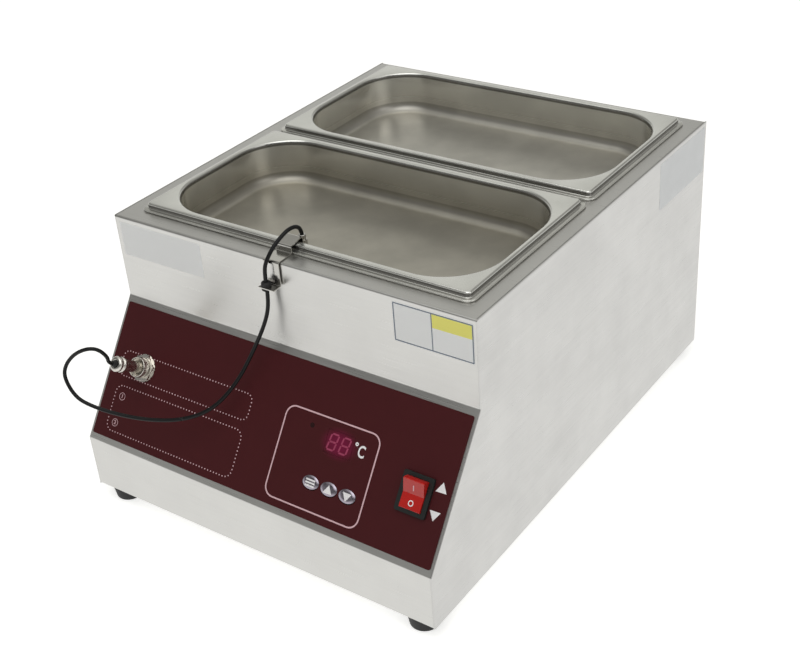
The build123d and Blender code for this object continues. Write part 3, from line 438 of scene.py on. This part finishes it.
def mineral_wool(name):
    """Pressed mineral fibre: pale matted strands with no gloss. Real ones are some 0.01 mm thick, and
    these stand 1.1 mm apart and 0.4 mm high, so that they show."""
    material, tree, place = new_material(name)
    along = add_node(tree, "Mapping", {"Vector": place, "Scale": (1, 0.25, 1)})
    strands = add_node(tree, "TexNoise", {
        "Vector": along, "Scale": spacing(1.11), "Detail": 5.0, "Roughness": 0.7,
    })
    colour = add_node(tree, "Mix", {
        0: strands, 6: linear("#9d9272"), 7: linear("#ded6bb"),
    }, data_type="RGBA")
    relief = add_node(tree, "Bump", {"Height": strands, "Distance": 0.4 * MM})
    shader = add_node(tree, "BsdfPrincipled", {"Base Color": colour, "Roughness": 0.95, "Normal": relief})
    add_node(tree, "OutputMaterial", {"Surface": shader})
    return material


def glowing_film(name, tint, glow, centre):
    """Polycarbonate film printed on its back: an even dark colour with a soft satin gloss. Behind it
    a dim display scatters a glow, which dies away some 14 mm above and below the display's middle and
    20 mm to its sides."""
    material, tree, place = new_material(name)
    offset = add_node(tree, "VectorMath", {0: place, 1: tuple(centre)}, operation="SUBTRACT")
    squeezed = add_node(tree, "VectorMath", {0: offset, 1: (0.72, 1.0, 1.0)}, operation="MULTIPLY")
    away = add_node(tree, "VectorMath", {0: squeezed}, operation="LENGTH").node.outputs["Value"]
    share = add_node(tree, "MapRange", {
        "Value": away, "From Min": 14.5 * MM, "From Max": 3.0 * MM,
    }, interpolation_type="SMOOTHSTEP")
    fine = add_node(tree, "TexNoise", {"Vector": place, "Scale": spacing(0.4), "Detail": 3.0})
    broad = add_node(tree, "TexNoise", {"Vector": place, "Scale": spacing(16.67), "Detail": 2.0})
    patch = add_node(tree, "Mix", {
        0: broad, 6: linear(tint, 0.94), 7: linear(tint, 1.06),
    }, data_type="RGBA")
    colour = add_node(tree, "Mix", {0: share, 6: patch, 7: linear(glow)}, data_type="RGBA")
    relief = add_node(tree, "Bump", {"Height": fine, "Distance": 0.008 * MM})
    shader = add_node(tree, "BsdfPrincipled", {
        "Base Color": colour, "Roughness": 0.5, "Normal": relief, "Specular IOR Level": 0.2,
    })
    add_node(tree, "OutputMaterial", {"Surface": shader})
    return material


def lit_segment(name, tint, strength):
    """Light-emitting segment behind tinted plastic: an even dim glow."""
    material, tree, place = new_material(name)
    spread = add_node(tree, "TexNoise", {"Vector": place, "Scale": spacing(2.0), "Detail": 2.0})
    colour = two_tones(tree, spread, tint, 0.2)
    shader = add_node(tree, "BsdfPrincipled", {
        "Base Color": colour, "Emission Color": colour, "Emission Strength": strength, "Roughness": 0.5,
    })
    add_node(tree, "OutputMaterial", {"Surface": shader})
    return material


# Metals. The sides are cloudier than the front; the front pan's floor has painted shade, the rear one's
# painted light.
# Scratches are drawn out along the grain, to some 80 times their width.
STRETCH = 0.012
sheet_front = brushed_stainless(
    "brushed stainless sheet, grain across", (STRETCH, 1, 1), "#deddda", 0.32, cloud=0.06)
sheet_side = brushed_stainless(
    "brushed stainless sheet, grain front to back", (1, STRETCH, 1), "#dbdad8", 0.32, cloud=0.12)
# Painted shade and light: the two pans are one steel, with the front floor's tint darker and the rear one's
# lighter.
front_pan_steel_shaded = drawn_pan_steel("satin deep-drawn stainless, floor painted darker", "#e9e9e4", "#c0bcb1")
rear_pan_steel_lit = drawn_pan_steel("satin deep-drawn stainless", "#e9e9e4", "#d2cfc6")
bent_strip = satin_steel("bright stainless strip", "#cfcdc8", 0.16, wave=0.1)
well_aluminium = satin_steel("plain pressed aluminium", "#c9c9c6", 0.38, wave=0.4)
zinc_steel = plain_metal("bright zinc-plated steel", "#c8cacc", 0.25)
nickel_plate = plain_metal("satin nickel plate", "#e4e0d9", 0.25)
brass_contact = plain_metal("plain brass", "#c8a75a", 0.3)
key_silver = plain_metal("embossed silver-grey foil", "#b5adba", 0.24, wear=0.15)

# Plastics, rubbers and resins, from matt to glossy
silicone_mat = moulded("smooth silicone rubber", "#b4532d", 0.5)
black_rubber = moulded("matt black rubber", "#1d1d1e", 0.6, grain=1.11, depth=0.05)
cord_jacket = moulded(
    "black silicone cord jacket", "#0c0d0e", 0.42, grain=0.667, depth=0.01,
    more={"Specular IOR Level": 0.3})
black_plastic = moulded("black moulded nylon", "#1e2221", 0.38)
pale_plastic = moulded("pale nylon", "#dcd9cc", 0.45)
circuit_board = moulded("green circuit board", "#1f5636", 0.35)
resin = moulded("blue cast resin", "#27406f", 0.35)
lamp_lens = moulded("smoked lamp lens", "#2c0f10", 0.2)
red_plastic = moulded(
    "glossy red polycarbonate", "#c8231e", 0.22, grain=0.667, depth=0.006, change=0.08,
    more={"Coat Weight": 0.4})

# Fibres
wool = mineral_wool("pressed mineral fibre")
lead_sleeve = moulded("woven sleeving", "#cfccc2", 0.7, grain=1.43, depth=0.2)

# The panel's film with the display behind it
DISPLAY_MIDDLE = PANEL @ Vector((69.8 * MM, 4.8 * MM, 0))
film = glowing_film("back-printed polycarbonate film", "#481519", "#75103a", DISPLAY_MIDDLE)
segment_glow = lit_segment("display segments behind the film", "#a03a5c", 0.12)

# Screen inks and vinyl, which are smooth and even in colour
INK = {"rough": 0.45, "grain": 0.4, "depth": 0.004}
VINYL = {"grain": 0.556, "depth": 0.008}
white_ink = moulded("white screen ink", "#fffdff", change=0.04, **INK)
pink_ink = moulded("pale screen ink", "#e6bfc6", change=0.05, **INK)
sticker_white = moulded("white vinyl sticker", "#eff1f4", 0.35, change=0.03, **VINYL)
sticker_bright = moulded("bright white vinyl sticker", "#fdfeff", 0.45, change=0.01, **VINYL)
sticker_yellow = moulded("yellow vinyl ink", "#fff983", 0.45, change=0.01, **VINYL)
sticker_line = moulded("grey-blue ink", "#7a8494", 0.4, change=0.05, **VINYL)

# The nodes that have each finish
finish_of = {
    sheet_front: ["front_top_cover", "rear_panel", "base_plate"],
    sheet_side: ["left_side_panel", "right_side_panel"],
    front_pan_steel_shaded: ["front_pan"],
    rear_pan_steel_lit: ["rear_pan"],
    bent_strip: ["probe_clip", "probe_tube"],
    well_aluminium: ["front_heater_well", "rear_heater_well", "heat_shield"],
    silicone_mat: ["front_heater_mat", "rear_heater_mat"],
    wool: ["front_insulation_pad", "rear_insulation_pad"],
    zinc_steel: ["rear_screws", "base_screws", "foot_screws", "foot_nuts", "hanger_screws",
                 "shield_hangers", "board_standoffs", "inlet_screws", "earth_stud"],
    black_rubber: ["feet", "clip_grommet", "plug_boot"],
    film: ["control_overlay", "display_window"],
    black_plastic: ["display_module", "switch_bezel", "power_inlet", "board_relay", "tact_switches"],
    key_silver: ["set_key", "up_key", "down_key"],
    lamp_lens: ["indicator_leds"],
    red_plastic: ["rocker"],
    circuit_board: ["controller_board"],
    pale_plastic: ["terminal_block", "board_terminals", "thermal_cutouts"],
    resin: ["board_transformer"],
    nickel_plate: ["probe_socket", "socket_washer", "socket_nut", "coupling_ring", "plug_body",
                   "plug_clamp"],
    brass_contact: ["switch_terminals", "inlet_pins", "well_sensors"],
    cord_jacket: ["probe_cord_lower", "probe_cord_upper"],
    lead_sleeve: ["wiring_harness"],
}
for finish, names in finish_of.items():
    for name in names:
        nodes[name].data.materials.clear()
        nodes[name].data.materials.append(finish)


# Camera

# Matched to the photograph: the vertical plane through the lens is turned 37.18 degrees to the
# right of the machine's front, and the lens looks down 31.78 degrees with a slight roll. The lens is
# given in millimetres of focal length for a sensor of that width.
AZIMUTH, ELEVATION, ROLL = (math.radians(angle) for angle in (37.1766, 31.7835, -4.6223))
CAMERA_PLACE = Vector((605.40, -810.61, 718.84)) * MM
LENS, SENSOR = 59.58, 36.0

back = Vector((
    math.sin(AZIMUTH) * math.cos(ELEVATION), -math.cos(AZIMUTH) * math.cos(ELEVATION), math.sin(ELEVATION)
))
level_right = Vector((0, 0, 1)).cross(back).normalized()
level_up = back.cross(level_right)
right = level_right * math.cos(ROLL) + level_up * math.sin(ROLL)
up = back.cross(right)
camera_data = bpy.data.cameras.new("camera")
camera_data.sensor_width = SENSOR
camera_data.lens = LENS
camera_data.clip_start = 0.05
camera_data.clip_end = 60.0
camera = add_object("camera", camera_data)
camera.matrix_world = Matrix.Translation(CAMERA_PLACE) @ Matrix((right, up, back)).transposed().to_4x4()
bpy.context.scene.camera = camera


# The probe's cord

CORD = 3.2 * MM
CORD_SIDES = 20
SOCKET = Vector((-137.5 * MM, 8.1 * MM, 0.0))
BOOT_END = PANEL @ (SOCKET + Vector((0, 0, 40.6 * MM)))
BOOT_LEAD = PANEL @ (SOCKET + Vector((0, 0, 44.6 * MM)))

# Points in millimetres: the lower route goes on from the boot, round the loop and up to the grommet, and
# the upper one from the grommet over the clip into the probe's tube.
LOWER_ROUTE = [
    (-137.0, -226.0, 154.0), (-140.0, -230.5, 162.5), (-146.0, -236.0, 165.0), (-158.0, -240.0, 159.0),
    (-167.5, -243.0, 149.0), (-170.5, -246.2, 140.0), (-168.5, -247.4, 131.5), (-161.0, -248.4, 122.0),
    (-151.5, -247.0, 116.0), (-130.1, -241.0, 110.3), (-99.0, -232.5, 108.4), (-67.3, -221.7, 112.2),
    (-43.8, -208.4, 122.9), (-30.4, -190.6, 142.3), (-22.9, -175.3, 165.2), (-13.0, -167.6, 190.0),
    (-10.5, -162.7, 206.0), (-10.5, -162.7, 218.8),
]
UPPER_ROUTE = [
    (-10.5, -162.7, 226.3), (-10.5, -162.7, 236.0), (-9.0, -160.5, 244.0), (-6.5, -152.0, 254.0),
    (-4.0, -140.0, 260.5), (-3.0, -133.0, 261.0), (-3.0, -127.5, 259.0), (-3.0, -124.0, 255.0),
    (-3.0, -123.25, 250.7),
]

# The lower cord's two lengths meet by the route's point number CROSSING.
CROSSING = 11


def cord_curve(name, points):
    """One smooth spline that has a route's points as its control points."""
    curve = bpy.data.curves.new(name, "CURVE")
    curve.dimensions = "3D"
    curve.resolution_u = 16
    spline = curve.splines.new("NURBS")
    spline.points.add(len(points) - 1)
    for control, point in zip(spline.points, points):
        control.co = (*point, 1.0)
    spline.order_u = 3
    spline.use_endpoint_u = True
    return curve


def cord_line(points):
    """Points along the smooth spline of a route, as rows of an array."""
    line = curve_to_mesh("route", cord_curve("route", points))
    rows = np.array([vertex.co for vertex in line.vertices])
    bpy.data.meshes.remove(line)
    return rows


def ring_frames(line):
    """Two directions square to the line at each of its points; each pair is the one before it, turned
    as little as the line's own turn asks."""
    along = np.gradient(line, axis=0)
    along /= np.linalg.norm(along, axis=1)[:, None]
    first = [np.cross(along[0], (0.0, 0.0, 1.0))]
    for heading in along[1:]:
        first.append(first[-1] - heading * (first[-1] @ heading))
    first = np.array(first)
    first /= np.linalg.norm(first, axis=1)[:, None]
    return first, np.cross(along, first)


def cord_length(name, line, sides):
    """Round length of the lower cord: a circle carried along the line, closed with a flat face at each end."""
    first, second = sides
    angle = np.linspace(0, 2 * math.pi, CORD_SIDES, endpoint=False)[:, None]
    rings = line[:, None] + CORD / 2 * (np.cos(angle) * first[:, None] + np.sin(angle) * second[:, None])
    rows, columns = rings.shape[:2]
    quads = grid_quads(rows, columns, close_columns=True)
    ends = [list(range(columns))[::-1], list(range((rows - 1) * columns, rows * columns))]
    mesh = bpy.data.meshes.new(name)
    mesh.from_pydata(rings.reshape(-1, 3), [], quads + ends)
    mesh.polygons.foreach_set("use_smooth", np.arange(len(mesh.polygons)) < len(quads))
    mesh.materials.append(cord_jacket)
    piece = add_object(name, mesh)
    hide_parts("probe_cord_lower")
    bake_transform(piece)
    return piece


def metres(points):
    """Points given in millimetres, in metres."""
    return [tuple(Vector(point) * MM) for point in points]


# The lower cord is made as two lengths that meet face to face where it crosses the panel.
lower_line = cord_line([tuple(BOOT_END), tuple(BOOT_LEAD)] + metres(LOWER_ROUTE))
lower_sides = ring_frames(lower_line)
meeting = int(np.argmin(np.linalg.norm(lower_line - metres(LOWER_ROUTE)[CROSSING], axis=1)))
loop_line, rise_line = lower_line[:meeting + 1], lower_line[meeting:]
loop_cord = cord_length("lower_cord_loop", loop_line, [side[:meeting + 1] for side in lower_sides])
rising_cord = cord_length("lower_cord_rise", rise_line, [side[meeting:] for side in lower_sides])

upper_curve = cord_curve("upper_cord", metres(UPPER_ROUTE))
upper_curve.bevel_depth = CORD / 2
upper_curve.bevel_resolution = 6
upper_curve.use_fill_caps = True
upper_curve.materials.append(cord_jacket)
upper_cord = add_object("upper_cord", upper_curve)
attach(upper_cord, "probe_body")
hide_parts("probe_cord_upper")


# Pans


def pan(name, node, body, material):
    """Pressed pan as one sheet. Rounded rectangles follow the section from the hem over the rim and
    lip, down the tapered wall and round the floor edge to the middle, then back along the underside."""
    low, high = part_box(node)
    centre = np.array([(low.x + high.x) / 2, (low.y + high.y) / 2, 0.0])
    half_length, half_width = (high.x - low.x) / 2, (high.y - low.y) / 2
    rim, hem = high.z, DECK + 0.45 * MM
    outer_corner, least_corner = 8.0 * MM, 2.0 * MM
    open_half_length, open_half_width, open_corner = 153.0 * MM, 77.0 * MM, 48.0 * MM
    sheet, hem_bend, step, step_bend = 0.8 * MM, 0.6 * MM, 4.2 * MM, 1.8 * MM
    lip, taper, floor_bend, dish = 2.6 * MM, math.tan(math.radians(4.0)), 9.0 * MM, 0.5 * MM

    def arc(centre_inset, centre_z, radius, count):
        """Quarter arc from its outermost point up to its top, as insets and heights."""
        angle = np.linspace(0, math.pi / 2, count)
        return [(centre_inset - radius * math.cos(a), centre_z + radius * math.sin(a)) for a in angle]

    def outside_section(thin):
        """Section outside the opening, as insets from the pan's outline and heights."""
        section = [(thin, hem)]
        section += arc(thin + hem_bend, PAN_LEDGE - thin - hem_bend, hem_bend, 4)
        section += [(step - 0.9 * MM + thin, PAN_LEDGE - thin)]
        section += [(step - 0.25 * MM + thin, PAN_LEDGE + 0.2 * MM - thin)]
        section += [(step + thin, PAN_LEDGE + 0.8 * MM - thin)]
        section += arc(step + step_bend, rim - step_bend, step_bend - thin, 7)
        return section

    def inside_section(thin):
        """Section from the lip down to the floor edge, as insets from the opening and heights."""
        section = [(-lip + (lip - thin) * math.sin(a), rim - lip + (lip - thin) * math.cos(a))
                   for a in np.radians(np.linspace(0, 86, 9))]
        wall_end = rim - PAN_DEPTH + floor_bend
        section += [((rim - z) * taper - thin, z) for z in np.linspace(rim - 5.0 * MM, wall_end, 5)]
        start, bend = (rim - wall_end) * taper - thin, floor_bend + thin
        section += [(start + bend * (1 - math.cos(a)), wall_end - bend * math.sin(a))
                    for a in np.radians(np.linspace(8, 90, 10))]
        return section

    def face(thin):
        """Rings of one face of the sheet, from the hem to the floor's middle, which dishes a little."""
        rings = []
        for inset, z in outside_section(thin):
            corner = max(outer_corner - inset, least_corner)
            rings.append(rounded_ring(half_length - inset, half_width - inset, corner, z))
        opening = np.array([open_half_length, open_half_width, open_corner])
        inside = inside_section(thin)
        for inset, z in inside:
            rings.append(rounded_ring(*(opening - inset), z))
        last_inset, last_z = inside[-1]
        for share in np.linspace(0.93, 0.0, 12):
            rings.append(rounded_ring(*((opening - last_inset) * share), last_z - dish * (1 - share ** 2)))
        return rings

    grid = np.array(face(0.0) + face(sheet)[::-1]) + centre
    piece = surface(name, grid, body, material, close_rows=True, close_columns=True)
    weld(piece)
    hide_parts(node)


pan("front_pan_sheet", "front_pan", "front_pan_body", front_pan_steel_shaded)
pan("rear_pan_sheet", "rear_pan", "rear_pan_body", rear_pan_steel_lit)


# Connector

SOCKET_PLACE = PANEL @ Matrix.Translation(SOCKET)

# The coupling ring's grip, in millimetres like the profiles below, and its ridges.
GRIP_RADIUS, GRIP_LOW, GRIP_HIGH = 8.7, 4.9, 10.1
RIDGES, RIDGE_DEPTH, RIDGE_FADE = 44, 0.35 * MM, 0.5 * MM


def knurl(angle, radius, height):
    """Straight knurling: the radius drops by a raised cosine of the angle, once for each ridge, and
    the drop fades out at both ends of the grip."""
    fade_in = np.clip((height - GRIP_LOW * MM) / RIDGE_FADE, 0, 1)
    fade_out = np.clip((GRIP_HIGH * MM - height) / RIDGE_FADE, 0, 1)
    outside = radius > (GRIP_RADIUS - 0.2) * MM
    return -RIDGE_DEPTH * (0.5 - 0.5 * np.cos(RIDGES * angle)) * fade_in * fade_out * outside


def connector_piece(name, node, profile, body, material, slot, **shape):
    """Turned piece on the socket's axis that stands for a node."""
    piece = turned(name, profile, SOCKET_PLACE, body, material, **shape)
    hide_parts(node)
    return piece


# Profiles are (radius, height over the panel's sheet) in millimetres.
grip = [(GRIP_RADIUS, height) for height in np.linspace(GRIP_LOW, GRIP_HIGH, 12)]
ring_sheet = connector_piece("knurled_ring", "coupling_ring", [(7.4, 4.4), (8.2, 4.4)] + grip + [
    (8.55, 10.5), (8.45, 10.8), (8.2, 11.0), (7.9, 10.9), (7.7, 10.6), (7.6, 10.0), (7.55, 8.8),
    (5.2, 8.8), (5.2, 7.8), (7.4, 7.8),
], "coupling_ring_body", nickel_plate, "nickel_plate", segments=6 * RIDGES, radius_change=knurl)

clamp_end = [(4.2 + 2.4 * math.cos(a), 34.8 + 2.4 * math.sin(a)) for a in np.radians(np.linspace(0, 90, 9))]
clamp_sheet = connector_piece("turned_clamp", "plug_clamp", [
    (3.0, 27.6), (6.0, 27.6), (6.45, 27.85), (6.6, 28.4), (6.6, 30.6), (6.4, 31.1), (5.9, 31.4),
    (5.3, 32.0), (5.3, 32.8), (5.9, 33.2), (6.4, 33.5), (6.6, 34.0),
] + clamp_end + [(3.3, 37.2), (3.0, 36.9)], "housing", nickel_plate, "nickel_plate")

boot_sheet = connector_piece("tapered_boot", "plug_boot", [
    (1.4, 36.6), (2.95, 36.6), (2.95, 37.3), (2.8, 38.0), (2.5, 38.9), (2.2, 39.8), (1.95, 40.4),
    (1.7, 40.6), (1.4, 40.5),
], "housing", black_rubber, "black_rubber")


# Printed panel

TOP_OF_FILM = PANEL @ Matrix.Translation((0, 0, OVERLAY))


def printed(name, outlines, texts, material, lift=0.0, body="housing"):
    """Ink on the film, or on a key that stands off it by the lift."""
    place = TOP_OF_FILM @ Matrix.Translation((0, 0, lift))
    flat_marks(name, outlines, texts, place, PRINT, body, material)


# Outlines are in millimetres on the sloping panel, from its middle.
printed("frame_line", [
    rectangle(14.1, -52.6, 105.2, 22.3, 9.0), rectangle(15.3, -51.4, 104.0, 21.1, 7.8),
], [], pink_ink)
upper_box = dots_round(-163.0, -3.9, -20.4, 17.8, corner=6.0)
lower_box = dots_round(-161.0, -51.7, -20.7, -12.2, corner=7.0)
printed("dotted_boxes", upper_box + lower_box, [], pink_ink)
numbers = {"1": -21.1, "2": -44.1}
printed("numbered_rings", [circle(-152.5, y, radius) for y in numbers.values() for radius in (3.3, 2.9)],
        [(number, 4.6, -152.5, y, 1.0) for number, y in numbers.items()], pink_ink)
printed("degree_sign", [circle(85.2, 9.8, 1.5), circle(85.2, 9.8, 0.5)], [("C", 13.0, 90.8, 4.9, 0.72)],
        white_ink)
printed("switch_arrows", [
    [(160.4, -2.6), (169.9, -2.2), (165.1, 5.4)],
    [(160.3, -16.8), (165.0, -24.1), (169.7, -16.5)],
], [], white_ink)


def digit_segments(x, y, height, width, bar, lean):
    """The seven bars of one leaning digit, each a narrow hexagon. Neighbours stop short of each other,
    and each tip reaches a little less than half a bar beyond its sides."""
    half_height, half_width, cut, tip_share = height / 2 - bar / 2, width / 2 - bar / 2, bar * 0.62, 0.8
    across = [(-half_width, v, half_width, v) for v in (half_height, 0.0, -half_height)]
    upright = [(u, v, u, v + half_height) for u in (-half_width, half_width) for v in (-half_height, 0.0)]
    outlines = []
    for x0, y0, x1, y1 in across + upright:
        start, end = np.array([x0, y0]), np.array([x1, y1])
        along = (end - start) / np.hypot(*(end - start))
        side = np.array([-along[1], along[0]]) * bar / 2
        tip = along * bar / 2 * tip_share
        start, end = start + along * cut, end - along * cut
        outline = np.array([start - tip, start + side, end + side, end + tip, end - side, start - side])
        outline[:, 0] += outline[:, 1] * lean
        outlines.append(outline + [x, y])
    return outlines


digits = []
for middle in (63.8, 75.2):
    digits += digit_segments(middle, 4.8, height=14.0, width=8.2, bar=1.4, lean=0.16)
printed("display_digits", digits, [], segment_glow)
printed("lamp_spot", [circle(41.5, 11.8, 2.0)], [], lamp_lens)


# Key symbols and switch marks

# Half the length and half the width of a key, and its height over the film, in millimetres.
KEY_LONG, KEY_SHORT, KEY_TOP = 7.7, 5.4, 0.9


def key_dome(name, node, body):
    """Embossed oval key: ellipses of a shrinking share follow the section from behind the film up the
    side, round the edge and up the curving rim, to a flat middle that carries the symbol."""
    low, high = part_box(node)
    centre = PANEL.inverted() @ ((low + high) / 2)
    top = OVERLAY / MM + KEY_TOP
    behind, side, edge, edge_drop, rim_drop, middle = -1.0, 0.96, 0.25, 0.85, 0.6, 0.62
    turn = np.radians(np.linspace(0, 90, 6))
    section = [(0.0, behind), (1.0, behind)]
    section += [(side + 0.04 * math.cos(a), top - edge_drop + edge * math.sin(a)) for a in turn]
    section += [(share, top - rim_drop * ((share - middle) / 0.34) ** 1.6)
                for share in np.linspace(0.94, middle, 8)]
    section += [(0.3, top), (0.0, top)]
    share, height = np.array(section).T
    angle = np.linspace(0, 2 * math.pi, 48, endpoint=False)
    grid = np.stack([
        KEY_LONG * share[:, None] * np.cos(angle),
        KEY_SHORT * share[:, None] * np.sin(angle),
        np.broadcast_to(height[:, None], (len(share), len(angle))),
    ], axis=-1) * MM + [centre.x, centre.y, 0.0]
    piece = surface(name, in_place(grid, PANEL), body, key_silver, close_columns=True)
    weld(piece)
    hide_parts(node)


three_bars = [rectangle(50.2, -30.7 + v - 0.65, 59.0, -30.7 + v + 0.65) for v in (-2.3, 0.0, 2.3)]
up_arrow = [(67.9, -33.7), (76.1, -33.7), (72.0, -26.9)]
down_arrow = [(85.3, -27.7), (89.4, -34.5), (93.5, -27.7)]
for key, symbol in (("set", three_bars), ("up", [up_arrow]), ("down", [down_arrow])):
    key_dome(key + "_key_dome", key + "_key", key + "_key_body")
    printed(key + "_symbol", symbol, [], white_ink, KEY_TOP * MM, key + "_key_body")


def rocker_face(share):
    """Place on the rocker's upper or lower sloping face, at a share of its length above or below the
    pivot. The faces rise from a valley to the edges, and the whole rocker is tilted, lower end in."""
    reach, tilt, valley = 12.0, math.radians(13.0), 1.0
    edge = reach * math.tan(tilt) + 1.4
    slope = math.atan2(edge - valley, reach)
    pivot = PANEL @ Matrix.Translation((145.4 * MM, -10.0 * MM, 3.0 * MM))
    on_face = Matrix.Translation((0, reach * share * MM, (valley + (edge - valley) * abs(share)) * MM))
    lean = Matrix.Rotation(math.copysign(slope, share), 4, "X")
    return pivot @ Matrix.Rotation(tilt, 4, "X") @ on_face @ lean


flat_marks("on_mark", [rectangle(-0.45, -2.3, 0.45, 2.3)], [], rocker_face(0.42), PRINT, "rocker_body",
           pink_ink)
flat_marks("off_mark", [circle(0, 0, 2.3), circle(0, 0, 1.55)], [], rocker_face(-0.55), PRINT,
           "rocker_body", white_ink)


# Bare stickers


def front_place(from_left, below_deck):
    """Matrix for a flat piece on the upper front wall, placed from the left side and the deck."""
    corner = Matrix.Translation((LEFT + from_left * MM, UPPER_WALL, DECK - below_deck * MM))
    return corner @ Matrix.Rotation(math.pi / 2, 4, "X")


def side_place(from_front, below_deck):
    """Matrix for a flat piece on the right side, placed from the upper front wall and the deck."""
    corner = Matrix.Translation((RIGHT, UPPER_WALL + from_front * MM, DECK - below_deck * MM))
    return corner @ Matrix.Rotation(math.pi / 2, 4, "Z") @ Matrix.Rotation(math.pi / 2, 4, "X")


def sticker(name, outline, place, material):
    """Sheet of vinyl on the housing."""
    flat_marks(name, [outline], [], place, STICKER, "housing", material)


sticker("left_sticker", rectangle(-45.0, -15.3, 43.8, 15.3, 1.2), front_place(50.5, 20.0), sticker_bright)
right_sticker = front_place(316.0, 21.0)
sticker("right_sticker", rectangle(-34.8, -16.6, 34.8, 16.8, 1.0), right_sticker, sticker_bright)
right_face = right_sticker @ Matrix.Translation((0, 0, STICKER))
flat_marks("right_sticker_lines", [
    rectangle(-34.4, -16.2, 34.4, 16.4, 0.8), rectangle(-33.4, -15.2, -1.4, 15.4, 0.3),
    rectangle(-0.5, -15.2, 33.4, 15.4, 0.3),
], [], right_face, PRINT, "housing", sticker_line)
flat_marks("right_sticker_block", [rectangle(-0.4, 4.0, 33.3, 15.3, 0.3)], [], right_face, PRINT, "housing",
           sticker_yellow)
sticker("side_sticker", rectangle(-45.0, -21.5, 45.0, 21.5, 1.2), side_place(337.0, 25.5), sticker_white)


# Studio

WHITE = (1.0, 1.0, 1.0, 1.0)


def studio_floor():
    """Large level floor. The camera sees it white with the machine's soft shadow, and metal mirrors it
    as the pale ground that it is; what it throws back on the object is a plain pale floor's light."""
    material = bpy.data.materials.new("white studio floor")
    material.use_nodes = True
    tree = material.node_tree
    tree.nodes.clear()
    plain = add_node(tree, "BsdfDiffuse", {"Color": linear("#e9e9e6")})
    # With the light that falls on it, this makes the floor white to the camera but for the shadow.
    lift = add_node(tree, "Emission", {"Color": WHITE, "Strength": 0.62})
    seen = add_node(tree, "AddShader", {0: plain, 1: lift})
    mirrored = add_node(tree, "Emission", {"Color": linear("#f4f4f2"), "Strength": 1.06})
    rays = add_node(tree, "LightPath").node.outputs
    shiny = add_node(tree, "Math", {
        0: rays["Is Glossy Ray"], 1: rays["Is Transmission Ray"],
    }, operation="MAXIMUM")
    reflected = add_node(tree, "MixShader", {0: shiny, 1: plain, 2: mirrored})
    choice = add_node(tree, "MixShader", {0: rays["Is Camera Ray"], 1: reflected, 2: seen})
    add_node(tree, "OutputMaterial", {"Surface": choice})
    reach = 12.0
    mesh = bpy.data.meshes.new("studio_floor")
    corners = [(-reach, -reach, 0), (reach, -reach, 0), (reach, reach, 0), (-reach, reach, 0)]
    mesh.from_pydata(corners, [], [(0, 1, 2, 3)])
    mesh.materials.append(material)
    add_object("studio_floor", mesh)


def studio_world():
    """White to the camera; to reflections and soft light, a pale horizon and a pale wall behind the
    object's left, under a greyer ceiling that is darkest above the photographer and pale overhead."""
    pale_wall = (-0.528, 0.727, 0.438)
    world = bpy.data.worlds.new("studio")
    bpy.context.scene.world = world
    world.use_nodes = True
    tree = world.node_tree
    tree.nodes.clear()
    direction = add_node(tree, "TexCoord").node.outputs["Generated"]
    parts = add_node(tree, "SeparateXYZ", {0: direction}).node.outputs
    depth = add_node(tree, "MapRange", {"Value": parts["Y"], "From Min": -0.8, "From Max": 0.6})
    ceiling = add_node(tree, "Mix", {
        0: depth, 6: linear("#5c5c5a"), 7: linear("#8c8b87"),
    }, data_type="RGBA")
    away = add_node(tree, "VectorMath", {
        0: direction, 1: pale_wall,
    }, operation="DISTANCE").node.outputs["Value"]
    nearness = add_node(tree, "MapRange", {
        "Value": away, "From Min": 0.42, "From Max": 0.16,
    }, interpolation_type="SMOOTHSTEP")
    walls = add_node(tree, "Mix", {0: nearness, 6: ceiling, 7: linear("#d2d2cd")}, data_type="RGBA")
    overhead = add_node(tree, "MapRange", {"Value": parts["Z"], "From Min": 0.66, "From Max": 0.9})
    upper = add_node(tree, "Mix", {0: overhead, 6: walls, 7: linear("#dcdcd8")}, data_type="RGBA")
    height = add_node(tree, "MapRange", {"Value": parts["Z"], "From Min": 0.0, "From Max": 0.4})
    room = add_node(tree, "Mix", {0: height, 6: linear("#e6e6e4"), 7: upper}, data_type="RGBA")
    lit = add_node(tree, "Background", {"Color": room, "Strength": 1.0})
    white = add_node(tree, "Background", {"Color": WHITE, "Strength": 1.0})
    camera_ray = add_node(tree, "LightPath").node.outputs["Is Camera Ray"]
    choice = add_node(tree, "MixShader", {0: camera_ray, 1: lit, 2: white})
    add_node(tree, "OutputWorld", {"Surface": choice})


def softbox(name, place, size, power):
    """Square area lamp that faces the middle of the machine."""
    lamp = bpy.data.lights.new(name, "AREA")
    lamp.shape = "SQUARE"
    lamp.size = size
    lamp.energy = power
    away = Vector(place) - Vector((0, 0, 0.12))
    holder = add_object(name, lamp)
    holder.matrix_world = Matrix.Translation(place) @ away.to_track_quat("Z", "Y").to_matrix().to_4x4()


studio_floor()
studio_world()
softbox("front_softbox", (0.3, -1.25, 2.55), size=2.4, power=22.0)
softbox("right_softbox", (2.0, -0.2, 1.5), size=1.0, power=4.5)

bpy.context.scene.view_settings.view_transform = "Standard"
